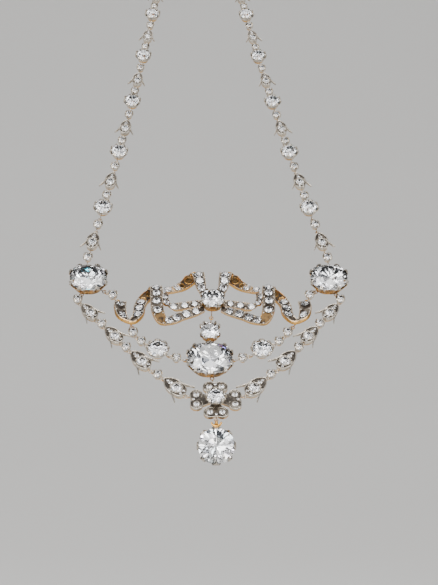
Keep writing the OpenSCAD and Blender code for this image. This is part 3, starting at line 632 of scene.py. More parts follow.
def silver_over_gold():
    """Silver fronts on gold backs, by the height over the panel. Flat fronts between rims carry painted
    shade.
    """
    def colour_of(tree, film, look):
        reach = dot_with(tree, object_place(tree), PANEL_OUT)
        height = calc(tree, "SUBTRACT", reach, PANEL.translation.dot(PANEL_OUT))
        gilt = ramp(tree, height, SILVER_DOWN_TO * MM, GOLD_BELOW * MM)
        metal = blend(tree, gilt, (*look.silver, 1), (*look.gold, 1))
        normal = tree.nodes.new("ShaderNodeNewGeometry").outputs["Normal"]
        flat = calc(tree, "GREATER_THAN", dot_with(tree, normal, PANEL_OUT), SQUARELY)
        husk, petal = (calc(tree, "COMPARE", height, level * MM, NEAR * MM)
                       for level in (HUSK_TOP, PETAL_TOP))
        # Painted shade: flat faces at the front of a husk or petal, between its rims and stones, are darkened
        shade_mask = calc(tree, "MULTIPLY", flat, calc(tree, "MAXIMUM", husk, petal))
        painted_shade = calc(tree, "MULTIPLY", shade_mask, RECESS_SHADE)
        return metal, calc(tree, "MAXIMUM", painted_shade, calc(tree, "MULTIPLY", film, FRONT_FILM))

    return filmed_metal("silver_over_gold", 420, colour_of)


# How far below the girdle a large setting's claws are silver, and the stretch in which gold takes over.
# The drop hangs face on and shows silver further down
SILVER_TO = 0.3
DROP_SILVER_TO = 1.6
GOLD_AFTER = 0.6


def setting_metal(label, place):
    """Old gold of a large setting, whose claws are silver above the stone's girdle."""
    name = f"{label}_setting_metal"
    if name in bpy.data.materials:
        return bpy.data.materials[name]
    out = (place.to_3x3() @ Vector((0, 0, 1))).normalized()
    silver_from = place.translation.dot(out) - (DROP_SILVER_TO if label == "drop" else SILVER_TO) * MM

    def colour_of(tree, film, look):
        height = dot_with(tree, object_place(tree), out)
        tip = ramp(tree, height, silver_from - GOLD_AFTER * MM, silver_from)
        metal = blend(tree, tip, (*look.gold, 1), (*look.silver, 1))
        low = calc(tree, "MULTIPLY_ADD", tip, TIP_COVER - GOLD_COVER, GOLD_COVER)
        return metal, calc(tree, "MULTIPLY_ADD", film, SETTING_FILM, low)

    return filmed_metal(name, 450, colour_of)


def setting_places():
    """Where each large setting's stone stands."""
    places = {}
    for name, (at, z, *_) in MAIN.items():
        if name == "corner":
            for side, sign in SIDES.items():
                places[f"corner_{side}"] = panel_place(sign * at[0], at[1], z)
        else:
            places[name] = DROP if name == "drop" else panel_place(*at, z)
    return places


def ribbon_metal():
    """Ribbon: silver in front and gold behind, by its own layers, with painted shade on the bed between the
    rims.
    """
    def colour_of(tree, film, look):
        metal = blend(tree, painted(tree, "gilt"), (*look.silver, 1), (*look.gold, 1))
        # Painted shade on the bed between the rims, as much as the mesh's layer says
        painted_shade = calc(tree, "MULTIPLY", painted(tree, "bed"), BED_SHADE)
        return metal, calc(tree, "MULTIPLY_ADD", film, RIBBON_FILM, painted_shade, use_clamp=True)

    return filmed_metal("ribbon_silver_and_gold", 500, colour_of, "bed")


def old_cut_diamond():
    """Clear stone whose facets each carry a faint painted colour: painted fire and dark reflections."""
    look = bpy.context.scene.necklace_finish
    material, tree, shader = new_material("old_cut_diamond")
    colour = blend(tree, 1.0, (*look.stone, 1), painted(tree, "fire", "Color"), blend_type="MULTIPLY")
    tree.links.new(colour, shader.inputs["Base Color"])
    for key, value in (("Roughness", 0.0), ("IOR", 2.42), ("Transmission Weight", 1)):
        shader.inputs[key].default_value = value
    return material


FINISHES = {"silver_over_gold": silver_over_gold, "ribbon_silver_and_gold": ribbon_metal,
            "old_cut_diamond": old_cut_diamond}


def finish_named(name):
    """The finish of that name, made when it is first asked for."""
    if name in bpy.data.materials:
        return bpy.data.materials[name]
    return FINISHES[name]() if name in FINISHES else plain_metal(name)


# Stones

# Old-cut brilliant: height of the star facets' tips as a share of the crown, the break in the pavilion
# as shares of width and depth, and the culet's share of the width
STAR_HEIGHT = 0.63
PAVILION_BREAK = (0.5, -0.56)
CULET_SHARE = 0.07
# The table and the break are no squarer than this outline power
MIN_POWER = 0.9
# A large stone's crown and pavilion as shares of its width, and half the girdle's thickness
LARGE_CUT = (0.19, 0.4)
HALF_GIRDLE = 0.12
UNIT_HALF_GIRDLE = 0.05
# Crown and pavilion of the low stones on the petals, and of those on the husks and along the ribbon
LOW_CUT = (0.32, 0.28)
RIBBON_CUT = (0.3, 0.26)


def brilliant(a, b, power, crown, pavilion, half_girdle):
    """Old-cut brilliant on a girdle of half axes a and b: its points and faces. The table is a fan, so
    that a painted flash of colour can fill a part of it."""
    table = bpy.context.scene.necklace_sizes.table
    points = [(0, 0, crown)]

    def ring(share, z, count, turn=0.0, curve=power):
        first = len(points)
        for i in range(count):
            p = on_outline(a * share, b * share, curve, 360 / count * i + turn)
            points.append((p.x, p.y, z))
        return [first + i for i in range(count)]

    rounder = max(power, MIN_POWER)
    wide, deep = PAVILION_BREAK
    star = ring(0.5 * (1 + table), crown * STAR_HEIGHT, 8, HALF_STEP)
    top = ring(table, crown, 8, 0, rounder)
    over = ring(1, half_girdle, 16)
    under = ring(1, -half_girdle, 16)
    half = ring(wide, deep * pavilion, 8, HALF_STEP, rounder)
    culet = ring(CULET_SHARE, -pavilion, 8, 0, 1)
    faces = [tuple(culet)]
    for i in range(8):
        j = (i + 1) % 8
        g, m, h = 2 * i, 2 * i + 1, (2 * i + 2) % 16
        faces += [(0, top[i], top[j]), (top[i], star[i], top[j]), (top[i], over[g], star[i]),
                  (top[j], star[i], over[h]), (star[i], over[g], over[m]), (star[i], over[m], over[h]),
                  (under[g], half[i], under[m]), (under[m], half[i], under[h]),
                  (culet[i], half[i], under[g]), (culet[j], under[h], half[i]), (culet[i], culet[j], half[i])]
    return points, faces + bands(2, 16, over[0])


# Painted fire and reflections: faint colours of single facets, and the draws below which a facet is
# painted grey as a dark reflection, or has one of them
FACET_TINTS = [(0.82, 0.88, 1.0), (1.0, 0.92, 0.8), (0.8, 0.97, 1.0), (0.95, 0.86, 1.0)]
GREY_BELOW = 0.16
TINTED_BELOW = 0.3
GREYS = (0.35, 0.7)
GREY_BLUE = 1.03


def paint_facet_light(mesh, seed, flashes=()):
    """Paints fire and reflections into each facet's colour. A flash is (a point near the facet, a colour), a
    painted reflection.
    """
    draw = random.Random(seed)
    colours = []
    for _ in mesh.polygons:
        share = draw.random()
        # A grey facet is a painted dark reflection, and a tinted one is painted fire
        if share < GREY_BELOW:
            grey = draw.uniform(*GREYS)
            colours.append((grey, grey, grey * GREY_BLUE, 1))
        elif share < TINTED_BELOW:
            colours.append((*draw.choice(FACET_TINTS), 1))
        else:
            colours.append((1, 1, 1, 1))
    for near, colour in flashes:
        nearest = min(mesh.polygons, key=lambda f: (f.center - Vector(near)).length)
        colours[nearest.index] = (*colour, 1)
    layer = mesh.attributes.new("fire", "FLOAT_COLOR", "FACE")
    layer.data.foreach_set("color", [c for colour in colours for c in colour])


def unit_stone(seed, crown=0.42, pavilion=0.85):
    """Hidden round stone of radius one, for the copies."""
    name = f"round_stone_pattern_{seed}"
    if name not in bpy.data.objects:
        piece = mesh_piece(name, *brilliant(1, 1, 1, crown, pavilion, UNIT_HALF_GIRDLE),
                           finish_named("old_cut_diamond"))
        paint_facet_light(piece.data, seed)
        bpy.context.scene.collection.objects.unlink(piece)
    return bpy.data.objects[name]


# Rings of a shallow cup for a stone of radius one: radius and height
SEAT_RINGS = ((0.95, -0.4), (1.14, 0.0), (1.02, 0.05), (0.55, -0.3))


def seat_pattern():
    """Hidden shallow cup for a stone of radius one, for the copies."""
    if "seat_pattern" not in bpy.data.objects:
        points = [(*(way * r), z) for r, z in SEAT_RINGS for way in circle(12)]
        faces = bands(4, 12) + [tuple(range(12)), tuple(range(36, 48))]
        piece = mesh_piece("seat_pattern", points, faces, finish_named("silver_foil"))
        bpy.context.scene.collection.objects.unlink(piece)
    return bpy.data.objects["seat_pattern"]


def bead_pattern():
    """Hidden bead of radius one, for the copies."""
    if "bead_pattern" not in bpy.data.objects:
        mesh = bpy.data.meshes.new("bead_pattern")
        shape = bmesh.new()
        bmesh.ops.create_icosphere(shape, subdivisions=2, radius=1)
        shape.to_mesh(mesh)
        shape.free()
        mesh.shade_smooth()
        bpy.data.objects.new("bead_pattern", mesh)
    return bpy.data.objects["bead_pattern"]


def set_stones(name, places, seed, cut=(), replaced=()):
    """Small round stones at each place, as one piece."""
    finish(copies(name, unit_stone(seed, *cut), places, finish_named("old_cut_diamond")),
           replaced=replaced)


def set_small(name, places, seed, cut):
    """Low stones in shallow cups, for the small stones set on husks and petals."""
    set_stones(name + "_stones", places, seed, cut)
    finish(copies(name + "_seats", seat_pattern(), places, finish_named("silver_foil")))


def large_stone(node, place, w, h, power, seed, flashes=(), body="necklace"):
    """Faceted stone of its own at a place in millimetres, for a packed one."""
    crown, pavilion = LARGE_CUT
    points, faces = brilliant(w / 2, h / 2, power, crown * w, pavilion * w, HALF_GIRDLE)
    piece = mesh_piece(node + "_cut", points, faces, finish_named("old_cut_diamond"))
    paint_facet_light(piece.data, seed, flashes)
    piece.data.transform(place)
    finish(piece, body, [node])


# Places along the necklace, as (x, y, heading) on the panel

def facing(side, heading):
    """A heading of the right side on either side."""
    return heading if side == "right" else 180 - heading


def chain_heading(way):
    """Slope of the chain before the nape's bend, in degrees."""
    return CHAIN_SLOPE - math.degrees(way / CHAIN_BOW)


def chain_curve(way):
    """Point of the right chain before the nape's bend."""
    here, start = math.radians(chain_heading(way)), math.radians(CHAIN_SLOPE)
    return (CHAIN_START - CHAIN_BOW * (math.cos(here) - math.cos(start)),
            CHAIN_BOW * (math.sin(start) - math.sin(here)))


def chain_at(way):
    """Place on the right neck chain by the way along it from the corner stone."""
    if way < NAPE_FROM:
        return (*chain_curve(way), 90 + chain_heading(way))
    slope = chain_heading(NAPE_FROM)
    x, y = chain_curve(NAPE_FROM)
    radius = x / math.cos(math.radians(slope))
    round_nape = slope + math.degrees((way - NAPE_FROM) / radius)
    c, s = turned(round_nape)
    return (radius * c, y - radius * math.sin(math.radians(slope)) + radius * s, 90 + round_nape)


def chain_places(side):
    """Links of a neck chain as (kind, x, y, heading, size)."""
    links = []
    ways, way, pitch, share = FIRST_WAYS, FIRST_UNIT, UNIT_PITCH, 1.0
    for _ in range(UNITS):
        links += [(kind, at, LINK_SIZES[kind] * share) for kind, at in zip(LINK_KINDS, (*ways, way))]
        last = ("small", way + LAST_LINK, LINK_SIZES["small"] * share)
        way += pitch
        ways = [way - part * pitch for part in LINK_PARTS]
        pitch *= PITCH_RATIO
        share *= SIZE_RATIO
    places = []
    for kind, at, size in (*links, last):
        x, y, heading = chain_at(at)
        places.append((kind, SIDES[side] * x, y, facing(side, heading), size))
    return places


def side_places(side):
    """Round settings and husks of one side below the corner stones. The garland and the inner row lean
    with the pieces that they lead to, which don't sit quite in the middle."""
    sign = SIDES[side]
    smalls, husks = [], []
    for i, (x, y, size, *heading) in enumerate(GARLAND):
        x = sign * x + MOTIF_AT[0] * i / (len(GARLAND) - 1)
        if heading:
            husks.append((x, y, facing(side, heading[0] + 180), size))
        else:
            smalls.append((x, y, size))
    centre_x = MAIN["centre"][0][0]
    inner = [(sign * x + centre_x * i / (len(INNER) - 1), y, r) for i, (x, y, r) in enumerate(INNER)]
    x, y, r = BOW_COLLET
    collet = (sign * x + BOW_ASIDE * COLLET_ASIDE, y, r)
    return smalls, husks, inner, collet


# Claws

# Stations of a round setting's claw, as distance out, height and thickness: those out from its cup, and
# those out from its stone
CUP_STATIONS = [(-0.02, -0.35, 0.9), (0, 0.2, 1.15)]
STONE_STATIONS = [(0.02, 0.58, 1.1), (-0.22, 0.64, 0.85), (-0.4, 0.6, 0.4)]


def crown_claws(x, y, z, r, setting, heading):
    """Tapered claws round a round setting, as paths."""
    thick = bpy.context.scene.necklace_sizes.small_claw
    out = r + GAP + setting["wall"]
    foot = CROWN_FOOT * r + setting["wall"]
    # A claw starts halfway down the cup, at half its thickness
    stations = [((foot + out) / 2, -setting["depth"] / 2, 0.5)]
    stations += [(out + d, h, share) for d, h, share in CUP_STATIONS]
    stations += [(r + d, h, share) for d, h, share in STONE_STATIONS]
    paths = []
    for i in range(setting["claws"]):
        way = turned(heading + 360 / setting["claws"] * i)
        paths.append(([(PANEL @ Vector((x + way.x * d, y + way.y * d, z + h)), thick * share)
                       for d, h, share in stations], False))
    return paths


# Stations of a cushion setting's claw: distance out from the stone, height, thickness. The foot's are
# out from the cup's foot and up from it
CLAW_FOOT = (0.42, 0.1, 0.8)
CLAW_STEM = [(0.34, -0.85, 0.9), (0.3, -0.5, 1.0)]
CLAW_TIP = [(0.3, -0.5, 1.02), (0.28, 0.1, 1.05), (0.26, 0.42, 1.1), (0.0, 0.72, 1.05),
            (-0.4, 0.95, 0.85), (-0.7, 1.05, 0.45)]
# Rails of a gallery as (share of its height, thickness), its ribs as shares of the claw spacing and of
# the height, and how far both stand out of the wall
RAILS = ((0.04, 0.18), (0.5, 0.13))
RIBS_BETWEEN = (0.3, 0.5, 0.7)
RIB_HEIGHTS = (0.02, 0.5, 0.98)
RIB_THICK = 0.12
RAIL_PROUD = 0.05
RIB_PROUD = 0.04
# A gallery ends this far below the girdle, and this far in from the stone's edge
GALLERY_TOP = 1.0
GALLERY_IN = 0.1


def cushion_claws(place, w, h, power, depth, claws, turn):
    """Claws of a cushion-shaped setting, as paths: the gold stems, and the silver tips."""
    thick = bpy.context.scene.necklace_sizes.claw
    stems, tips = [], []
    for i in range(claws):
        bearing = turn + 360 / claws * i

        def station(out, z, share, of=1.0):
            p = on_outline(of * w / 2 + out, of * h / 2 + out, power, bearing)
            return place @ Vector((p.x, p.y, z)), thick * share

        out, up, share = CLAW_FOOT
        foot = station(out, up - depth, share, CUSHION_FOOT)
        stems.append(([foot] + [station(*stop) for stop in CLAW_STEM], False))
        tips.append(([station(*stop) for stop in CLAW_TIP], False))
    return stems, tips


def cushion_gallery(place, w, h, power, depth, claws, turn):
    """Rails round a cushion-shaped setting, and upright ribs between its claws, as paths."""
    feet = [CUSHION_FOOT * size / 2 + CUSHION_WALL for size in (w, h)]
    rises = [size / 2 - GALLERY_IN - foot for size, foot in zip((w, h), feet)]

    def at(bearing, share, proud, thick):
        a, b = (foot + rise * share + proud for foot, rise in zip(feet, rises))
        p = on_outline(a, b, power, bearing)
        return place @ Vector((p.x, p.y, (depth - GALLERY_TOP) * share - depth)), thick * MM

    paths = [([at(5 * i, share, RAIL_PROUD, thick) for i in range(72)], True) for share, thick in RAILS]
    for i in range(claws):
        for part in RIBS_BETWEEN:
            bearing = turn + 360 / claws * (i + part)
            paths.append(([at(bearing, share, RIB_PROUD, RIB_THICK) for share in RIB_HEIGHTS], False))
    return paths


# Ribbon

# Stations to either side of a point of the ribbon, from which its course is taken
NEARBY = 0.05
# One face of the ribbon's section at its edge: distance in, height, whether it is the bed, and how
# much gold shows there
RIM = [(0, 0.3, 0, 0.85), (0.05, 0.55, 0, 0.55), (0.17, 0.62, 0, 0.25), (0.3, 0.56, 0, 0.4),
       (0.36, 0.44, 1, 0.1)]
# The rim's highest row, where its grains stand
RIM_TOP = RIM[2][:2]
RIBBON_STEPS = 8
# Share of the bed's painted shade on the reverse
REVERSE_BED_SHADE = 0.5
# The ribbon's stones: how far they keep from its edge, and the height of their girdle
STONE_EDGE = 0.3
STONE_HEIGHT = 0.86
# Beads between them: distance in from the edge, height, radius
BEAD_IN, BEAD_HEIGHT, BEAD_R = 0.62, 0.5, 0.3
# Round holes behind the stones, and where the reverse faces forward: height and distance in from the
# edge. The latter keep off the ends of their stretch
BACK_HOLE = (-0.46, 0.75)
FRONT_HOLE = (0.47, 0.85)
HOLE_ENDS = (0.25, 0.15)
HOLE_WIRE = 0.12
# Rings of the dark cap in a hole, which is painted shade: height, and radius as a share of the hole's
SHADE_CAP_RINGS = ((-0.03, 1.0), (0.035, 0.96))


def spline_section(table, u):
    """Middle and edge vector of the ribbon at u sections along it."""
    n = len(table) - 1
    i = min(int(u), n - 1)
    a, b, c, d = (Vector(table[k]) for k in (max(i - 1, 0), i, i + 1, min(i + 2, n)))
    t = u - i
    row = 0.5 * (2 * b + (c - a) * t + (2 * a - 5 * b + 4 * c - d) * t ** 2
                 + (3 * b - a - 3 * c + d) * t ** 3)
    return Vector(row[:3]), Vector(row[3:])


def ribbon_axes(table, u):
    """Middle, half width, and the unit vectors across the ribbon and out of it."""
    middle, edge = spline_section(table, u)
    ahead, behind = min(u + NEARBY, len(table) - 1), max(u - NEARBY, 0)
    course = spline_section(table, ahead)[0] - spline_section(table, behind)[0]
    return middle, edge.length, edge.normalized(), course.cross(edge).normalized()


def facing_out(table, u):
    """The same, with the face that is turned forward."""
    middle, half, across, out = ribbon_axes(table, u)
    return middle, half, across, out if out.z > 0 else -out


def ribbon_point(side, p):
    """A point of the right ribbon, in the frame, on either side."""
    return PANEL @ Vector((SIDES[side] * p.x + BOW_ASIDE, p.y, p.z))


def reverse_look(table, u):
    """Gold share and painted shade of the bed where the reverse shows, or those of the plain front."""
    for t, start, end, _, gold, painted_shade in REVERSES:
        if t is table and start <= u <= end:
            return gold, painted_shade
    return 0, 1


def ribbon_mesh(name, side, table):
    """Smooth ribbon with a raised rim along both edges of both faces."""
    points, gilt, bed = [], [], []
    count = (len(table) - 1) * RIBBON_STEPS
    for k in range(count + 1):
        u = k / RIBBON_STEPS
        middle, half, across, out = ribbon_axes(table, u)
        for face in (1, -1):
            gold, painted_shade = reverse_look(table, u) if out.z * face > 0 else (1, REVERSE_BED_SHADE)
            rows = [(half - inset, *rest) for inset, *rest in RIM]
            rows += [(-d, *rest) for d, *rest in reversed(rows)]
            for d, height, is_bed, share in rows:
                points.append(ribbon_point(side, middle + across * d * face + out * height * face))
                gilt.append(max(gold, share))
                # The bed between the rims carries painted shade, as much as its stretch says
                bed.append(is_bed * painted_shade)
    ring = 4 * len(RIM)
    faces = bands(count + 1, ring)
    faces += [tuple(range(ring)), tuple(count * ring + i for i in reversed(range(ring)))]
    piece = mesh_piece(name, points, faces, finish_named("ribbon_silver_and_gold"), smooth_below=50)
    for key, values in (("gilt", gilt), ("bed", bed)):
        piece.data.attributes.new(key, "FLOAT", "POINT").data.foreach_set("value", values)
    return piece


def rim_rows(side, table):
    """Rows of grains along both rims of the front. Where a fold turns the other face forward, a row
    ends and the next one starts."""
    paths = []
    count = (len(table) - 1) * RIBBON_STEPS
    inset, height = RIM_TOP
    row = [facing_out(table, k / RIBBON_STEPS) for k in range(count + 1)]
    for edge in (1, -1):
        start = 0
        for k in range(1, count + 2):
            if k > count or row[k][3].dot(row[k - 1][3]) < 0:
                # A row needs three points
                if k - start > 2:
                    tops = [middle + across * edge * (half - inset) + out * height
                            for middle, half, across, out in row[start:k]]
                    paths.append(([(ribbon_point(side, p), 0) for p in tops], False))
                start = k
    return paths


def run_stations(start, end, count):
    """Evenly spaced stations of a stretch."""
    return [start + (end - start) * i / (count - 1) for i in range(count)]


def ribbon_stone_places(side, runs):
    """Where the ribbon's stones stand, with their sizes."""
    largest = bpy.context.scene.necklace_sizes.ribbon_stone / MM
    places = []
    for table, *run in runs:
        for u in run_stations(*run):
            middle, half, across, out = facing_out(table, u)
            r = min(largest, half - STONE_EDGE)
            axes = Matrix((across, out.cross(across), out)).transposed()
            if side == "left":
                axes = Matrix.Diagonal((-1, 1, 1)) @ axes @ Matrix.Diagonal((-1, 1, 1))
            turn = (PANEL.to_3x3().normalized() @ axes).to_4x4()
            foot = ribbon_point(side, middle + out * STONE_HEIGHT)
            places.append(Matrix.Translation(foot) @ turn @ Matrix.Scale(r * MM, 4))
    return places


def bead_places(side, table, stations):
    """Pairs of beads before, between and after the stones of a stretch."""
    places = []
    step = stations[1] - stations[0]
    for u in [stations[0] - step / 2] + [s + step / 2 for s in stations]:
        middle, half, across, out = facing_out(table, u)
        for edge in (-1, 1):
            spot = middle + across * edge * (half - BEAD_IN) + out * BEAD_HEIGHT
            places.append(Matrix.Translation(ribbon_point(side, spot)) @ Matrix.Scale(BEAD_R * MM, 4))
    return places


def hole(side, table, u, height, inset):
    """A round hole of the ribbon: its side, middle, two directions in its plane and radius."""
    middle, half, across, out = facing_out(table, u)
    return side, middle + out * height, across, out.cross(across), half - inset


def hole_ring(side, middle, across, second, radius):
    """Wire round a hole."""
    return [(ribbon_point(side, middle + (across * c + second * s) * radius), HOLE_WIRE * MM)
            for c, s in circle(16)], True


def hole_shade_caps(holes):
    """Low dark caps in the holes: painted shade in place of open holes."""
    points, faces = [], []
    for side, middle, across, second, radius in holes:
        out = across.cross(second)
        first = len(points)
        points += [ribbon_point(side, middle + (across * c + second * s) * radius * share + out * height)
                   for height, share in SHADE_CAP_RINGS for c, s in circle(12)]
        faces += [tuple(range(first, first + 12)), tuple(range(first + 12, first + 24))]
        faces += bands(2, 12, first)
    return mesh_piece("bow_hole_floors", points, faces, finish_named("dark_recess"))


# How far an eye's root starts inside its piece, its least length, and its share of the ring's wire
ROOT_IN = 0.2
ROOT_LEAST = 0.1
ROOT_THICK = 0.9


def eye_paths(p, q, reach_p, reach_q):
    """Linking eye of a piece at p towards a piece at q: a flat ring and its short root."""
    way = Vector((q[0] - p[0], q[1] - p[1], 0))
    at = (way.length + reach_p - reach_q - EYE_R - GAP) / 2
    root = min(reach_p - ROOT_IN, at - EYE_R - ROOT_LEAST)
    way.normalize()
    across = Vector((-way.y, way.x, 0))
    start = Vector((p[0], p[1], EYE_Z))
    middle = start + way * at
    ring = [(PANEL @ (middle + way * EYE_R * c + across * EYE_R * s), WIRE_R * MM) for c, s in circle(24)]
    post = [(PANEL @ (start + way * d), ROOT_THICK * WIRE_R * MM) for d in (root, at - EYE_R)]
    return [(ring, True), (post, False)]


# Rim of the bow's cup: each corner's place as a share of the claw spacing, and its kind
CUP_RIM = ((-0.09, 0), (0.09, 0), (0.2, 1), (0.34, 2), (0.66, 2), (0.8, 1))
# Rows of the cup from the foot over the rim and down inside: (distance out from the stone, height) on
# a claw, on its flank and in a dip
CUP_ROWS = (((0.5, 0.3), (0.5, -0.45), (-0.2, -0.9)), ((-0.2, 0.85), (0.4, -0.45), (-0.4, -0.9)),
            ((0.25, 0.1), (0.35, -0.6), (-0.6, -1.05)))


def cushion_cup(name, place, w, h, power, depth, claws, turn, material):
    """The cup of a cushion-shaped setting: a flaring wall whose rim dips between the claws."""
    n = len(CUP_RIM) * claws
    foot = (CUSHION_FOOT * w / 2, CUSHION_FOOT * h / 2)
    rows = [(foot, ((CUSHION_WALL, -depth),) * 3), *(((w / 2, h / 2), kinds) for kinds in CUP_ROWS),
            (foot, ((0, -depth),) * 3)]
    points = []
    for (a, b), kinds in rows:
        for i in range(n):
            share, kind = CUP_RIM[i % len(CUP_RIM)]
            out, z = kinds[kind]
            p = on_outline(a + out, b + out, power, 360 * (i // len(CUP_RIM) + share) / claws + turn)
            points.append((p.x, p.y, z))
    return mesh_piece(name, points, bands(len(rows), n, closed=True), material, place, smooth_below=35)


# Operators

class NECKLACE_OT_finishes(bpy.types.Operator):
    """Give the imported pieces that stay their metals"""
    bl_idname = "necklace.finishes"
    bl_label = "Metal Finishes"

    def execute(self, context):
        looks = {"silver": "silver_over_gold", "gold": "old_gold", "diamond": "old_cut_diamond"}
        settings = {label.replace("_", "_setting_", 1) if "_" in label else label + "_setting": (label, place)
                    for label, place in setting_places().items()}
        for subpart in frame["record"]["subparts"]:
            node = subpart["node"]
            if node in settings:
                material = setting_metal(*settings[node])
            elif node in ("clasp", "drop_link"):
                material = finish_named("yellow_gold")
            else:
                material = finish_named(looks[subpart["material_slot"]])
            mesh = frame["nodes"][node].data
            mesh.materials.clear()
            mesh.materials.append(material)
        return {"FINISHED"}


class NECKLACE_OT_large_stones(bpy.types.Operator):
    """Cut the cushion-shaped and large round stones"""
    bl_idname = "necklace.large_stones"
    bl_label = "Large Stones"

    # Coloured and dark reflections seen in the photograph, painted onto single facets: (a point by the
    # facet in millimetres, colour)
    FLASHES = {
        "corner": [((-1.2, 1.6, 2.4), (0.03, 0.62, 0.85)), ((-1.8, 0.8, 2.4), (0.2, 0.8, 0.95)),
                   ((1.0, 1.6, 2.4), (0.35, 0.42, 0.42))],
        "centre": [((4.7, 3.9, 1.2), (0.02, 0.01, 0.95)), ((5.3, 2.8, 1.2), (0.12, 0.1, 1.0)),
                   ((4.0, 3.0, 2.0), (0.1, 0.08, 1.0)), ((3.4, 4.6, 1.2), (0.25, 0.22, 1.0)),
                   ((4.3, 3.5, 2.2), (0.06, 0.04, 1.0)), ((4.9, 3.3, 1.8), (0.05, 0.03, 1.0)),
                   ((3.8, 4.1, 1.8), (0.08, 0.06, 1.0)), ((0.8, -1.9, 2.8), (0.03, 0.03, 0.035))],
        "drop": [((0.7, 1.7, 2.2), (0.01, 0.012, 0.012)), ((1.2, 3.4, 1.6), (0.03, 0.035, 0.04)),
                 ((0.8, 4.8, 0.9), (0.05, 0.06, 0.07)), ((1.7, 2.6, 1.8), (0.03, 0.035, 0.04)),
                 ((0.2, 2.8, 1.9), (0.03, 0.035, 0.04))],
    }
    # Seeds of the facets' painted fire and reflections. The other stones take the length of their name
    SEEDS = {"corner": 11, "side": 21, "quatrefoil": 31}

    def execute(self, context):
        for name, (at, z, *cut, _, _, _) in MAIN.items():
            if name == "drop":
                large_stone("drop_stone", DROP, *cut, len(name), self.FLASHES[name], "drop")
            elif name != "corner":
                large_stone(f"{name}_stone", panel_place(*at, z), *cut, len(name),
                            self.FLASHES.get(name, ()))
        (x, y), z, *cut = MAIN["corner"][:5]
        for side, sign in SIDES.items():
            large_stone(f"corner_stone_{side}", panel_place(sign * x, y, z), *cut,
                        self.SEEDS["corner"] + sign, self.FLASHES["corner"] if side == "left" else ())
            *at, r = side_places(side)[2][2]
            large_stone(f"side_stone_{side}", panel_place(*at, SIDE_Z), 2 * r, 2 * r, 1,
                        self.SEEDS["side"] + sign)
        large_stone("quatrefoil_stone", panel_place(*MOTIF_AT, MOTIF_Z), 2 * MOTIF_R, 2 * MOTIF_R, 1,
                    self.SEEDS["quatrefoil"])
        return {"FINISHED"}


class NECKLACE_OT_small_stones(bpy.types.Operator):
    """Cut the small round stones of the chains, garlands and rows"""
    bl_idname = "necklace.small_stones"
    bl_label = "Small Stones"

    def execute(self, context):
        for side in SIDES:
            smalls, husks, inner, collet = side_places(side)
            chain = [self.in_husk(*place) if kind == "husk" else
                     self.in_link(*place, LARGE_Z if kind == "large" else 0)
                     for kind, *place in chain_places(side)]
            rows = {"neck_chain_stones": chain,
                    "garland_stones": [*(self.in_collet(*place) for place in smalls),
                                       *(self.in_husk(*place) for place in husks)],
                    "inner_stones": [self.in_collet(*inner[i]) for i in (0, 1, 3)],
                    "bow_collet_stone": [self.in_collet(*collet)]}
            for seed, (name, places) in enumerate(rows.items(), 1):
                set_stones(f"{name}_{side}_cut", places, seed, replaced=[f"{name}_{side}"])
        return {"FINISHED"}

    def in_link(self, x, y, heading, r, z):
        """Place of the stone of a chain's collet."""
        return panel_place(x, y, z, heading + HALF_STEP, r)

    def in_collet(self, x, y, r):
        """Place of a small collet's stone."""
        return panel_place(x, y, 0, 45, r)

    def in_husk(self, x, y, heading, length):
        """Place of the large stone of a husk."""
        way = turned(heading) * HUSK_STONE_AT * length
        return panel_place(x + way.x, y + way.y, 0, heading, HUSK_STONE_R * length)


class NECKLACE_OT_ribbon_bow(bpy.types.Operator):
    """Draw the ribbon bow with its rims, stones, grains and the holes of its reverse"""
    bl_idname = "necklace.ribbon_bow"
    bl_label = "Ribbon Bow"

    # Post that joins a tail to one of its eyes: radius, and its ends' heights
    POST_R = 0.35
    POST_HEIGHTS = (-1.4, 0)

    def execute(self, context):
        sizes = context.scene.necklace_sizes
        silver, gold = finish_named("rubbed_silver"), finish_named("yellow_gold")
        at, _, *size = MAIN["bow"]
        place = setting_places()["bow"]
        finish(cushion_cup("bow_cup", place, *size, setting_metal("bow", place)),
               replaced=["bow_frame"])
        eyes, rims, stones, corners, beads, holes = [], [], [], [], [], []
        for side in SIDES:
            for label, table in (("tail", TAIL), ("loop", LOOP)):
                finish(ribbon_mesh(f"bow_{label}_{side}", side, table), replaced=["bow_frame"])
                rims += rim_rows(side, table)
            stones += ribbon_stone_places(side, STONE_RUNS)
            corners += ribbon_stone_places(side, CORNER_RUNS)
            for table, *run in STONE_RUNS + CORNER_RUNS:
                stations = run_stations(*run)
                beads += bead_places(side, table, stations)
                holes += [hole(side, table, u, *BACK_HOLE) for u in stations]
            for table, start, end, count, *_ in REVERSES:
                stations = run_stations(start + HOLE_ENDS[0], end - HOLE_ENDS[1], count)
                holes += [hole(side, table, u, *FRONT_HOLE) for u in stations]
            _, _, inner, collet = side_places(side)
            for (x, y), towards in ((TAIL_TIP, collet), (TAIL_TROUGH, inner[0])):
                p = (SIDES[side] * x + BOW_ASIDE, y)
                eyes += eye_paths(p, towards, RIBBON_REACH, COLLET_REACH)
                eyes.append(([(PANEL @ Vector((*p, height)), self.POST_R * MM)
                              for height in self.POST_HEIGHTS], False))
        eyes += eye_paths(at, MAIN["square"][0], BOW_REACH, SQUARE_REACH)
        finish(wires("bow_eyes", eyes, gold), replaced=["bow_frame"])
        finish(grains("bow_rim_grains", rims, sizes.grain, sizes.grain_pitch, silver))
        set_stones("bow_ribbon_stones_cut", stones, 5, RIBBON_CUT, ["bow_ribbon_stones"])
        set_stones("bow_corner_stones_cut", corners, 6, RIBBON_CUT)
        finish(copies("bow_stone_grains", bead_pattern(), beads, silver))
        finish(wires("bow_back_holes", [hole_ring(*spot) for spot in holes], gold, sides=6))
        # Dark caps in the holes, painted shade
        finish(hole_shade_caps(holes))
        return {"FINISHED"}


